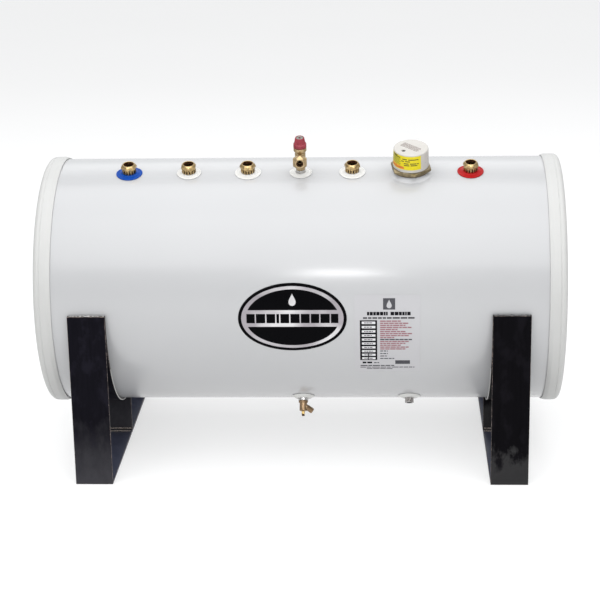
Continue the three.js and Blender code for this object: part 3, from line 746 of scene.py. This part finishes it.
def ribbed_cap():
    """A tapered cap with upright ribs over a smooth band with one groove."""
    foot, shoulder, top = 340, 348.2, 363
    ribs, steps = 30, 240

    def ribbed(radius, depth):
        return lambda angle: radius - depth * (0.5 - 0.5 * math.cos(angle * ribs))

    return loft(rings_of(
        steps, (12.4, foot), (13.9, foot), (14.4, foot + 0.6), (14.4, foot + 3.4), (13.9, foot + 3.8),
        (13.9, foot + 4.9), (14.35, foot + 5.3), (14.3, shoulder - 0.8), (13.9, shoulder),
        (13.0, shoulder + 0.5), (ribbed(12.4, 0.3), shoulder + 0.9), (ribbed(12.3, 0.8), shoulder + 1.6),
        (ribbed(10.2, 0.65), top - 1.6), (ribbed(9.8, 0.2), top - 0.6), (9.4, top - 0.1), (9.0, top),
        (8.3, top - 0.2), (8.1, top - 1.4), (2.6, top - 1.4), (2.6, 353), (10.2, 353),
        (12.4, 346)), loop=True)


def coil_spring(radius, wire, foot, top, turns, steps=24, around=8):
    """A round wire wound into a helix, with a flat cut at each end."""
    rings = []
    for i in range(turns * steps + 1):
        angle = 2 * math.pi * i / steps
        out = Vector((math.cos(angle), math.sin(angle), 0))
        height = foot + wire + (top - foot - 2 * wire) * i / (turns * steps)
        section = [2 * math.pi * k / around for k in range(around)]
        rings.append([out * (radius + wire * math.cos(a)) + Vector((0, 0, height + wire * math.sin(a)))
                      for a in section])
    return loft(rings)


def relief_casting(outlet_z):
    """Inlet, seat, spring chamber and bonnet in one, with a branch to the front at outlet_z."""
    outer = revolve([
        (0, 285.3), (9.9, 285.3, 0.4), (9.9, 287.5, 0.3), (10.5, 288), (10.5, 298.5), (11.8, 300.5, 0.8),
        (11.8, 324.5, 0.8), (11.1, 325.6, 0.5), (11.1, 327.6, 0.5), (12.2, 329.4, 0.8), (14.4, 331.4, 0.8),
        (14.4, 339.2, 0.6), (9.5, 339.3), (9.5, 351.6, 0.4), (0, 352)], 96)
    inner = revolve([
        (0, 284), (6.5, 284), (6.5, 305), (4.5, 305), (4.5, 308), (9, 308), (9, 329), (7, 330),
        (7, 349), (2.8, 349), (2.8, 353), (0, 353)], 48)

    def branch(mesh):
        return moved(mesh, z=outlet_z, turn=SIDEWAYS)

    body = fused(outer, branch(revolve([(0, 3), (9.6, 3), (9.6, 25, 0.4), (0, 25)], 64)))
    body = fused(body, branch(revolve([(0, 2), (11.2, 2), (11.2, 13, 1.5), (0, 13)], 64)))
    body = cut(body, inner, branch(rod(7.8, 17, 26, 64)), branch(rod(5.5, 2, 18, 64)))
    # Faces inside the outlet branch's bore take the second look, a painted shade.
    for face in body.faces:
        middle = face.calc_center_median()
        across = Vector((middle.x, 0, middle.z - outlet_z))
        if across.length < 8.2 and middle.y < -6 and face.normal.dot(across) <= 0 and face.normal.y > -0.9:
            face.material_index = 1
    return body


def make_relief_valve():
    x = centre("relief_body").x
    place = port(x, TOP)
    branch_start = Vector(JOINTS["relief_outlet_nut_turn"]["pos_m"])
    body = relief_casting((branch_start - AXIS).length / MM)
    piece("relief_casting", body, VALVE_BRASS, place, ["relief_body"])
    piece("relief_ribbed_cap", ribbed_cap(), "knob", place, ["relief_cap"], "relief_cap")
    disc = revolve([(2.7, 361.7), (7.7, 361.7), (7.7, 362.2, 0.2), (6.7, 362.3, 0.2), (6.2, 362, 0.1),
                    (2.7, 362)], 64, 3)
    piece("relief_cap_disc", disc, "disc_steel", place, body="relief_cap")
    piece("relief_outlet_turned_nut", turned_nut(PIPE_15, 30, 0), VALVE_BRASS,
          port(x, OUTLET, ALONG, branch_start), ["relief_outlet_nut"], "relief_outlet_nut")
    piece("relief_cover_plate", rosette_mesh(10.9, 25), "white", place,
          ["relief_rosette"])
    dress("copper", "relief_outlet_olive")
    dress("steel", "relief_tail", "relief_probe", "relief_stem")
    foot, top = 333.4, 348.6
    spring = piece("relief_coil_spring", coil_spring(4.8, 0.8, foot, top, 6),
                   "spring", place, ["relief_spring"])
    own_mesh(spring)


# ---------------- immersion heater

COVER_FOOT, COVER_TOP = 293.5, 336.3


def heater_head_mesh():
    """The hexagon with chamfered faces, over its threaded plug."""
    seat, top, flats = 284.2, 293.2, 82
    hexagon = hexagon_radius(flats, 2.5, 40)
    chamfer, steps = flats / 2 + 0.6, 180

    def lift(angle):
        return max(0, hexagon(angle) - chamfer) * 0.42

    flange = loft(rings_of(
        steps, (30, seat), (lambda a: min(hexagon(a), chamfer) - 0.4, seat),
        (lambda a: hexagon(a) - 0.1, lambda a: seat + 0.5 + lift(a)),
        (hexagon, lambda a: seat + 1.0 + lift(a)), (hexagon, lambda a: top - 1.2 - lift(a)),
        (lambda a: hexagon(a) - 0.35, lambda a: top - 0.5 - lift(a)),
        (lambda a: min(hexagon(a), chamfer) - 1.1, top), (30, top)), loop=True)
    cup = revolve([(0, 280), (27, 280), (27, 246), (32.6, 246), (32.6, seat - 0.05), (30, top - 0.2),
                   (0, top - 0.2)], 72)
    return flange, cup


def cover_shell(screw):
    """The terminal cover: a tapered cup with a screw tower inside and a cable hole at its back."""
    foot, top = COVER_FOOT, COVER_TOP
    outer = revolve([(0, foot), (39.6, foot, 0.8), (39.5, foot + 2), (38.2, top, 3), (0, top)], 128, 7)
    hollow = revolve([(0, foot - 1), (37.6, foot - 1), (36.2, top - 2.2, 2), (0, top - 2.2)], 96)
    tower = revolve([(0, top - 11), (6, top - 11, 0.5), (6, top - 1), (0, top - 1)], 40)
    sink = revolve([
        (0, top - 3.6), (4.4, top - 3.6), (4.4, top - 0.6, 0.5), (5.4, top + 1), (0, top + 1)], 40)
    hole = rod(2.3, top - 12, top - 5, 24)
    for part in (tower, sink, hole):
        moved(part, screw.x, screw.y)
    cable = moved(rod(6, 20, 45), z=foot + 14, turn=Matrix.Rotation(-math.pi / 2, 4, "X"))
    return cut(fused(cut(outer, hollow), tower), sink, hole, cable)


def make_heater():
    place = port(centre("heater_boss").x, TOP)
    screw = place.inverted() @ Vector(JOINTS["cover_screw_turn"]["pos_m"])
    dial = place.inverted() @ Vector(JOINTS["thermostat_dial_turn"]["pos_m"])
    flange, cup = heater_head_mesh()
    pillar = revolve([(2.4, 292.7), (4, 292.7), (4, 323.3, 0.5), (2.4, 323.3, 0.3)], 32)
    pocket = moved(rod(4.4, 276, 298), dial.x, dial.y)
    head = joined(flange, cut(cup, pocket), moved(pillar, screw.x, screw.y))
    piece("heater_hexagon", head, "aged_brass", place, ["heater_head"])
    piece("heater_cap", cover_shell(screw), "cover", place, ["heater_cover"],
          "heater_cover")
    make_cover_screw(place, screw)
    make_cover_label(place)
    make_cover_print(place)
    ground = CASING_R + 0.05
    flare = revolve([(37.3, ground + 1), (37.3, 281.2), (37.8, 281.4, 0.3), (39, ground + 3.2, 4),
                     (46, ground + 0.5, 6), (49, ground + 0.1), (49, ground - 0.3)], 120, 6)
    piece("heater_boss_flare", hug(flare, ground, 37.5), "casing", place)
    dress("casing", "heater_boss")
    dress("fibre", "heater_gasket")
    dress("spring", "heater_element")
    dress("phenolic", "thermostat", "terminal_block")
    dress("red", "thermostat_dial")


def make_cover_screw(place, screw):
    """A pan-head screw with a crossed recess."""
    head = COVER_TOP - 3.4
    body = revolve([
        (0, head - 15), (1.9, head - 15, 0.3), (1.9, head), (3.7, head, 0.2), (3.7, head + 1.6, 0.9),
        (2.4, head + 2.7, 1), (0, head + 2.9)], 40)
    slots = [moved(plate((-2.3, -0.45, head + 1.5), (2.3, 0.45, head + 4), 0.05),
                   turn=Matrix.Rotation(angle, 4, "Z")) for angle in (0.4, 0.4 + math.pi / 2)]
    piece("cover_cross_screw", moved(cut(body, *slots), screw.x, screw.y), "screw", place,
          ["cover_screw"], "cover_screw")


def cone_film(low, high, from_deg, to_deg, level):
    """A thin film on the cover's tapered side, by heights from its foot and angles from the front."""
    def radius(height):
        return 39.5 - 1.3 * (height - 2) / (COVER_TOP - COVER_FOOT - 2) + level

    rings = []
    count = max(2, round(abs(to_deg - from_deg) / 4))
    for i in range(count + 1):
        angle = math.radians(from_deg + (to_deg - from_deg) * i / count - 90)
        rings.append([polar(radius(height) + skin, angle, COVER_FOOT + height)
                      for height, skin in ((low, 0), (high, 0), (high, 0.06), (low, 0.06))])
    return loft(rings)


def make_cover_label(place):
    """A yellow film with generic bars where writing would be."""
    film_level, ink_level = 0.05, 0.12
    green, orange, olive = 1, 2, 3
    bars = [(orange, 8.6, 14.0, -82, -24)]
    bars += [(orange, 15.4, 17.0, start, start + 9) for start in range(-82, -35, 12)]
    bars += [(green, 18.4 + 2.9 * k, 20.2 + 2.9 * k, -84, -36 - 5 * (k % 2)) for k in range(6)]
    lines = [(31.2, -30, -14), (31.0, -10, 24), (26.4, -34, -24), (26.6, -20, -4), (21.2, -24, -8),
             (21.4, -4, 16), (21.0, 18, 25), (17.0, -24, -6), (17.2, -2, 20), (36.4, -78, -50),
             (33.6, -74, -38)]
    bars += [(olive, height, height + 2.2, start, end) for height, start, end in lines]
    films = [cone_film(7.0, 39.6, -88, 33, film_level)]
    films += [cone_film(*span, ink_level) for _, *span in bars]
    piece("heater_cover_label", joined(*films, indices=[0] + [ink for ink, *_ in bars]),
          ["yellow_film", "green_ink", "orange_ink", "olive_ink"], place, body="heater_cover")


def make_cover_print(place):
    """Rows of generic bars printed on the cover's top, askew."""
    rng = random.Random(7)
    left, right, pitch, half_height = -24, 24, 3.6, 1.15
    bars = []
    for row in range(5):
        start, y = left, 7.2 - row * pitch
        while start < right - 2:
            end = min(right, start + rng.uniform(3, 9))
            corners = (start, y - half_height, COVER_TOP + 0.01), (end, y + half_height, COVER_TOP + 0.06)
            bars.append(plate(*corners, 0.02, segments=1))
            start = end + 0.9
    piece("heater_cover_print", moved(joined(*bars), y=1, turn=Matrix.Rotation(math.radians(-40), 4, "Z")),
          "taupe_ink", place, body="heater_cover")


# ---------------- drain cock and sensor pocket

def make_drain():
    place = port(centre("drain_washer").x, BOTTOM)
    cover = hug(revolve([
        (11.7, SEAT), (25, SEAT, 0.4), (25, SEAT + 1.3, 0.5), (17.2, SEAT + 5.4, 1),
        (16.4, SEAT + 5.9, 0.4), (11.7, SEAT + 5.9, 0.4)], 96), SEAT, 13)
    piece("drain_cover_plate", cover, "white", place, ["drain_rosette"])
    tail = revolve([(5, 221), (11.3, 221), (11.3, 286.6, 0.5), (5, 286.9)], 64)
    piece("drain_boss", tail, "steel", place, ["drain_tail"])
    outer = revolve([
        (0, 287.3), (10.5, 287.3, 0.4), (10.6, 290.6, 0.7), (8.4, 292, 0.4), (8.4, 309, 0.5),
        (7.6, 310, 0.3), (0, 310)], 64)
    inner = revolve([
        (0, 286), (5, 286), (5, 297), (3.5, 297), (3.5, 299), (6.2, 299), (6.2, 306.5),
        (3.3, 306.5), (3.3, 311), (0, 311)], 40)
    branch_z, slant = 296, Matrix.Rotation(math.radians(55), 4, "Y")
    barbs = [(0, 2), (5.7, 2)]
    for k in range(5):
        barbs += [(5.7, 10.4 + 3 * k), (6.8, 10.8 + 3 * k), (5.9, 13.2 + 3 * k)]
    barbs += [(5.6, 25.8), (0, 25.8)]
    branch = moved(revolve(barbs, 48), z=branch_z, turn=slant)
    bore = moved(rod(4.2, 5, 27, 40), z=branch_z, turn=slant)
    piece("drain_casting", cut(fused(outer, branch), inner, bore), "cock_brass", place,
          ["drain_body"])
    square = plate((-3.3, -3.3, 310.3), (3.3, 3.3, 317.4), 0.5)
    tip = plate((-3.1, -3.1, 317.5), (3.1, 3.1, 321.6), 0.8)
    spindle = joined(rod(2.7, 302.1, 310.4), square, tip, indices=[0, 0, 1])
    piece("drain_square_spindle", spindle, ["spindle_brass", "dark_brass_and_shade"], place,
          ["drain_spindle"], "drain_spindle")
    dress("rubber", "drain_washer")


def make_sensor():
    place = port(centre("sensor_pocket").x, BOTTOM)
    cover = hug(revolve([
        (10.4, SEAT), (25.5, SEAT, 0.4), (25.5, SEAT + 1.4, 0.5), (15.5, SEAT + 4.6, 1),
        (14.8, SEAT + 5, 0.4), (10.4, SEAT + 5, 0.3)], 96), SEAT, 12)
    piece("sensor_cover_plate", cover, "white", place, ["sensor_rosette"])
    tube = revolve([
        (0, 120), (8, 120), (8, 268), (9.6, 269), (9.6, 280.4), (6.5, 280.4), (6.5, 123), (0, 123)], 48)
    thread = threaded(inner=6.5, outer=10, foot=280.4, top=291.3, depth=0.8, pitch=1.8)
    piece("sensor_nipple", joined(tube, thread, indices=[0, 1]),
          ["steel", "polished"], place, ["sensor_pocket"])


# ---------------- badge and rating label

FILM = 0.07
FILM_LEVELS = (0.32, 0.42, 0.52, 0.62)      # how far above the casing a film and the inks over it lie


def film_row(x_low, x_high, down, level):
    """One row of a film on the casing: x from the middle, and the arc from the top towards the front."""
    angle = down / CASING_R
    row = []
    for x, above in ((x_low, level), (x_high, level), (x_high, level + FILM), (x_low, level + FILM)):
        radius = CASING_R + above
        row.append(Vector((x, -radius * math.sin(angle), radius * math.cos(angle))))
    return row


def film(from_down, to_down, edges, level, rows=2, ease=False):
    """A closed thin film. edges(down) gives a row's lowest and highest x."""
    rings = []
    for i in range(rows + 1):
        share = i / rows
        if ease:
            share = (1 - math.cos(math.pi * share)) / 2
        down = from_down + (to_down - from_down) * share
        low, high = edges(down)
        rings.append(film_row(low, high, down, level))
    return loft(rings)


def box_film(x_low, x_high, from_down, to_down, level):
    rows = max(1, round((to_down - from_down) / 6))
    return film(from_down, to_down, lambda _: (x_low, x_high), level, rows)


def oval_edges(x, down, half_width, half_height, least=0.6):
    def edges(here):
        reach = half_width * math.sqrt(max(0, 1 - ((here - down) / half_height) ** 2))
        return x - max(least, reach), x + max(least, reach)

    return edges


def drop_film(x, down, height, level):
    """A plain drop shape: pointed above, round below."""
    def edges(here):
        share = (here - down) / height + 0.5
        reach = height * 0.42 * math.sin(math.pi * share) ** 0.5 * share**0.8 if 0 < share < 1 else 0
        return x - max(0.2, reach), x + max(0.2, reach)

    return film(down - height / 2, down + height / 2, edges, level, 28, ease=True)


def arc_to(point):
    """How far down the casing a point lies, along its surface from the top."""
    return math.atan2(-(point.y - AXIS.y), point.z - AXIS.z) * CASING_R


def node_span(node):
    """A sticker's x range and its range down the casing, in mm."""
    data = frame["nodes"][node].data
    downs = [arc_to(vertex.co) for vertex in data.vertices]
    low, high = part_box(node)
    return low.x / MM, high.x / MM, min(downs), max(downs)


def make_badge():
    """Black and silver oval with a plain drop and a row of blank blocks in its band."""
    x_low, x_high, top, bottom = node_span("badge")
    x, down = (x_low + x_high) / 2 - 1, (top + bottom) / 2
    half_width, half_height = (x_high - x_low) / 2 + 1.2, (bottom - top) / 2 + 0.8
    rim, ring, band, half_row = (6.9, 7), (16.4, 14), 19, 99
    black, silver = 0, 1
    under, middle, over, uppermost = FILM_LEVELS

    def oval(inset, level, first=None, last=None):
        height = half_height - inset[1]
        start = down - height if first is None else first
        end = down + height if last is None else last
        edges = oval_edges(x, down, half_width - inset[0], height)
        return film(start, end, edges, level, 48, ease=True)

    sheets = [(black, oval((0, 0), under)), (silver, oval(rim, middle)),
              (black, oval(ring, over, last=down - band)), (black, oval(ring, over, first=down + band)),
              (silver, drop_film(x, down - 42, 27, uppermost))]
    widths = [18, 20, 19, 6, 19, 20, 19, 18, 20, 16]
    gap = (2 * half_row - sum(widths)) / (len(widths) - 1)
    left = x - half_row
    for width in widths:
        sheets.append((black, box_film(left, left + width, down - 10.5, down + 10.5, over)))
        left += width + gap
    stick("oval_badge", ["black_film", "silver_film"], sheets, "badge")


def stick(name, inks, sheets, node):
    """Makes one piece of (ink number, film) pairs."""
    films = joined(*[sheet for _, sheet in sheets], indices=[ink for ink, _ in sheets])
    piece(name, films, inks, UPRIGHT, [node], sharp=50)


def make_rating_label():
    """A clear film printed with a drop, a heading, a column of blank cells and rows of bars."""
    x_low, x_high, top, bottom = node_span("rating_label")
    inks = ["label_film", "black_ink", "white_ink", "red_ink", "grey_ink"]
    left, first = x_low + 12, top + 6.7
    film_level, low, middle, high = FILM_LEVELS
    sheets = [(0, box_film(x_low, x_high, top, bottom, film_level))]

    def bar(ink, x0, x1, y0, y1, level=low):
        sheets.append((inks.index(ink), box_film(left + x0, left + x1, first + y0, first + y1, level)))

    def words(ink, x0, x1, y0, y1, seed, longest=14, space=1.6, level=low):
        rng = random.Random(seed)
        here = x0
        while here < x1 - 1:
            end = min(x1, here + rng.uniform(longest * 0.4, longest))
            bar(ink, here, end, y0, y1, level)
            here = end + space

    bar("grey_ink", 50, 76, 1, 26)
    sheets.append((0, drop_film(left + 63, first + 13.5, 19, middle)))
    words("black_ink", 15.5, 60, 31, 38.8, 3, 9, 1.0)
    words("black_ink", 66, 110, 31, 38.8, 6, 9, 1.0)
    words("black_ink", 7, 118, 43.2, 46.4, 4, 16, 2)

    table_top, cell_left, cell_right, cell_height, cell_pitch = 50, 4.2, 33.2, 5.6, 10.25 * 0.985
    bar("black_ink", 0, 37, table_top, 152)
    for k in range(10):
        y = table_top + 3 + cell_pitch * k
        cells = [(cell_left, cell_right)] if k < 8 else [(cell_left, 17.2), (19.2, cell_right)]
        for start, end in cells:
            bar("white_ink", start, end, y, y + cell_height, middle)
        words("grey_ink", 9, 28, y + 1.9, y + 3.9, 80 + k, 7, 1.2, high)

    column, line_pitch = 43.5, 4.9
    for k in range(15):
        y = 50.6 + line_pitch * k
        end = (112 if k % 4 else 88) - 7 * (k % 3)
        words("grey_ink" if k == 9 else "red_ink", column, end, y, y + 3.1, 20 + k, 13, 1.2)
    for k in range(4):
        words("grey_ink", column, 60 if k < 3 else 74, 125 + 7 * k, 127.6 + 7 * k, 50 + k, 9)
    words("black_ink", 5, 28, 157, 162, 60, 14, 2)
    words("grey_ink", 30, 41, 158.5, 161.5, 61, 8)
    bar("grey_ink", 76, 108, 153, 164)
    words("black_ink", 0.5, 74, 167.5, 170, 62, 16)
    words("grey_ink", 0, 118, 173, 175.4, 63, 18)
    words("grey_ink", 14, 70, 178, 180, 64, 18)
    stick("rating_film", inks, sheets, "rating_label")


# ---------------- cradle feet

def saddle_mesh(half_width, inner, thick, short):
    """A flat bar rolled to a half circle, with worn rounded edges."""
    corners = rounded([(-half_width, inner, 1), (half_width, inner, 1), (half_width, inner + thick, 1),
                       (-half_width, inner + thick, 1)], 3)
    rings, steps = [], 120
    for i in range(steps + 1):
        angle = math.pi + short + (math.pi - 2 * short) * i / steps
        rings.append([Vector((x, r * math.cos(angle), r * math.sin(angle))) for x, r in corners])
    sides = [1 if i % 4 < 3 else 0 for i in range(len(corners))]
    return loft(rings, sides=sides)


def make_foot(name, side):
    """A welded cradle: base bar, two uprights, and a plate under the band that holds the casing."""
    wider, leftwards = 1.2, (1, 2.5)[side]
    low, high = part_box(name + "_frame")
    x = (low.x + high.x) / 2 / MM - leftwards
    half, reach, top = (high.x - low.x) / 2 / MM + wider, (high.y - low.y) / 2 / MM, high.z / MM
    thick, plate_y = 5, 36
    inside = reach - thick
    axis_z = AXIS.z / MM
    plate_top = axis_z - math.sqrt((SEAT + thick) ** 2 - (plate_y - thick / 2) ** 2)

    def flat(y0, y1, z0, z1):
        return plate((x - half, y0, z0), (x + half, y1, z1), 0.7, 1)

    rear = [flat(-inside, inside, 0, thick), flat(inside, reach, 0, top)]
    front = [flat(-reach, -inside, 0, top),
             flat(plate_y - thick / 2, plate_y + thick / 2, thick, plate_top - 0.2)]
    paint = ("paint", "clean_paint")[side]
    piece(name + "_front_bars", joined(*front), [paint, "edge"],
          replaces=[name + "_frame"])
    # The rear bars take the lighter copy of the black paint, a painted sheen.
    piece(name + "_rear_bars", joined(*rear), ["lit_copy_black", "edge"])

    short = math.asin((axis_z - top) / SEAT)
    round_axis = Matrix.Translation((0, 0, AXIS.z)) @ Matrix.Scale(MM, 4)
    band = moved(saddle_mesh(half, SEAT, thick, short), x=x)
    piece(name + "_band", band, [paint, "edge"], round_axis, [name + "_saddle"])
    # Pale strips along both edges of the band: a painted highlight of the edge catching the light.
    strips = [moved(saddle_mesh(0.5, SEAT + 3.6, 1.7, short + 0.5), x=x + (half + 0.4) * end)
              for end in (-1, 1)]
    piece(name + "_painted_highlight_strips", joined(*strips), ["painted_highlight", "painted_highlight"], round_axis)

    def across(y, z, inset, *settings):
        return bead((x - half + inset, y, z), (x + half - inset, y, z), *settings)

    seed = 40 + side * 10
    rough = [across(end * (inside - 0.2), top - 0.6, 1, 2.9, seed + end, 0.38, 3.1) for end in (-1, 1)]
    # The right foot's top welds take the darker copy, with fainter painted glints.
    piece(name + "_top_welds", joined(*rough), ("weld", "dull_weld")[side])
    toe = thick / 2 + 1.2
    runs = [(plate_y - toe, thick + 5, 2.0), (plate_y - toe - 7, thick + 0.6, 2.2),
            (plate_y + toe, thick + 0.8, 2.2)]
    runs += [(plate_y + toe * end - 0.4, plate_top - 1.0, 2.0) for end in (-1, 1)]
    runs += [(end * (inside - 1), thick + 0.9, 2.0) for end in (-1, 1)]
    lower = [across(y, z, 2, radius, seed + 20 + k, 0.25) for k, (y, z, radius) in enumerate(runs)]
    piece(name + "_lower_welds", joined(*lower), "brown_weld")


# ---------------- camera, light and floor

def look_matrix(place, yaw, pitch, roll):
    """A camera's matrix, facing +Y at yaw 0, turned towards +X by yaw and down by pitch."""
    ahead = Vector((math.sin(yaw) * math.cos(pitch), math.cos(yaw) * math.cos(pitch), -math.sin(pitch)))
    right = Vector((math.cos(yaw), -math.sin(yaw), 0))
    up = right.cross(ahead)
    across = right * math.cos(roll) + up * math.sin(roll)
    upright = up * math.cos(roll) - right * math.sin(roll)
    turn = Matrix((across, upright, -ahead)).transposed().to_4x4()
    return Matrix.Translation(place) @ turn


CAMERA_PLACE = (0.1888, -3.9172, 1.5433)
CAMERA_LENS = 106.8
YAW, PITCH, ROLL = -0.0509, 0.298, -0.0182


def make_camera():
    data = bpy.data.cameras.new("camera")
    data.lens, data.sensor_width = CAMERA_LENS, 36
    data.clip_start, data.clip_end = 0.1, 200
    camera = bpy.data.objects.new("camera", data)
    camera.matrix_world = look_matrix(CAMERA_PLACE, YAW, PITCH, ROLL)
    bpy.context.scene.collection.objects.link(camera)
    bpy.context.scene.camera = camera


def make_light(name, place, target, width, height, watts):
    data = bpy.data.lights.new(name, "AREA")
    data.shape, data.size, data.size_y, data.energy = "RECTANGLE", width, height, watts
    light = bpy.data.objects.new(name, data)
    turn = (Vector(target) - Vector(place)).to_track_quat("-Z", "Y").to_matrix().to_4x4()
    light.matrix_world = Matrix.Translation(place) @ turn
    bpy.context.scene.collection.objects.link(light)


# each area light's place, target, width, height and watts
LIGHTS = {
    "overhead": ((0, 0.2, 3.6), (0, 0, 0.4), 5.0, 2.4, 62),
    "softbox": ((0, -2.4, 3.2), (0, 0, 0.4), 6.0, 3.4, 132),
    "front": ((0, -5.5, 2.2), (0, 0, 0.4), 4.0, 1.6, 2),
    "lamp": ((0.23, -4.0, 1.86), (0.15, -0.26, 0.48), 0.75, 0.22, 19),
    "rear": ((0, 3.2, 2.6), (0, 0, 0.5), 4.5, 1.6, 16),
}
SKY_LOW, SKY_HIGH, SKY_REAR = 0.39, 0.73, 0.82
FLOOR_GLOW, FLOOR_WHITE = 0.54, 0.45


def make_sky(tree):
    """A dim horizon under a bright ceiling, with a pale wall behind the object."""
    background = next(n for n in tree.nodes if n.type == "BACKGROUND")
    background.inputs["Color"].default_value = (0.97, 0.985, 1, 1)
    place = tree.nodes.new("ShaderNodeTexCoord")
    split = tree.nodes.new("ShaderNodeSeparateXYZ")
    tree.links.new(place.outputs["Generated"], split.inputs["Vector"])
    brightest = tree.nodes.new("ShaderNodeMath")
    brightest.operation = "MAXIMUM"
    spans = [("Z", 0.15, 0.8, SKY_HIGH), ("Y", 0.6, 0.9, SKY_REAR)]
    for k, (axis, start, end, strength) in enumerate(spans):
        rise = tree.nodes.new("ShaderNodeMapRange")
        set_range(rise, start, end, SKY_LOW, strength)
        tree.links.new(split.outputs[axis], rise.inputs["Value"])
        tree.links.new(rise.outputs["Result"], brightest.inputs[k])
    tree.links.new(brightest.outputs["Value"], background.inputs["Strength"])


def make_studio():
    scene = bpy.context.scene
    scene.view_settings.view_transform = "Standard"
    world = bpy.data.worlds.new("studio")
    scene.world = world
    world.use_nodes = True
    make_sky(world.node_tree)
    for name, settings in LIGHTS.items():
        make_light(name, *settings)
    floor = Look("floor", (FLOOR_WHITE,) * 3, 0.85)
    floor.set("Emission Color", (1, 1, 1, 1))
    floor.set("Emission Strength", FLOOR_GLOW)
    cloud = floor.noise(1.5, 2)
    dark, light = (FLOOR_WHITE - 0.005,) * 3, (FLOOR_WHITE + 0.005,) * 3
    floor.colour(floor.ramp(cloud, (0.3, dark), (0.7, light)))
    mesh = bmesh.new()
    bmesh.ops.create_grid(mesh, x_segments=8, y_segments=8, size=40)
    data = bpy.data.meshes.new("floor")
    mesh.to_mesh(data)
    mesh.free()
    data.materials.append(floor.material)
    ground = bpy.data.objects.new("floor", data)
    bpy.context.scene.collection.objects.link(ground)


# ---------------- the whole object

make_camera()
make_studio()
make_casing()
make_cap("end_cap_left", -1)
make_cap("end_cap_right", 1)
for port_name, (slot_name, plate_radius, nut_turn) in PIPE_PORTS.items():
    make_pipe_port(port_name, slot_name, plate_radius, nut_turn)
make_relief_valve()
make_heater()
make_drain()
make_sensor()
make_badge()
make_rating_label()
make_foot("foot_left", 0)
make_foot("foot_right", 1)
dress("foam", "foam_insulation")
dress("vessel", "vessel_barrel", "vessel_end_left", "vessel_end_right")
dress("steel", "heat_coil", "cold_dip_pipe")
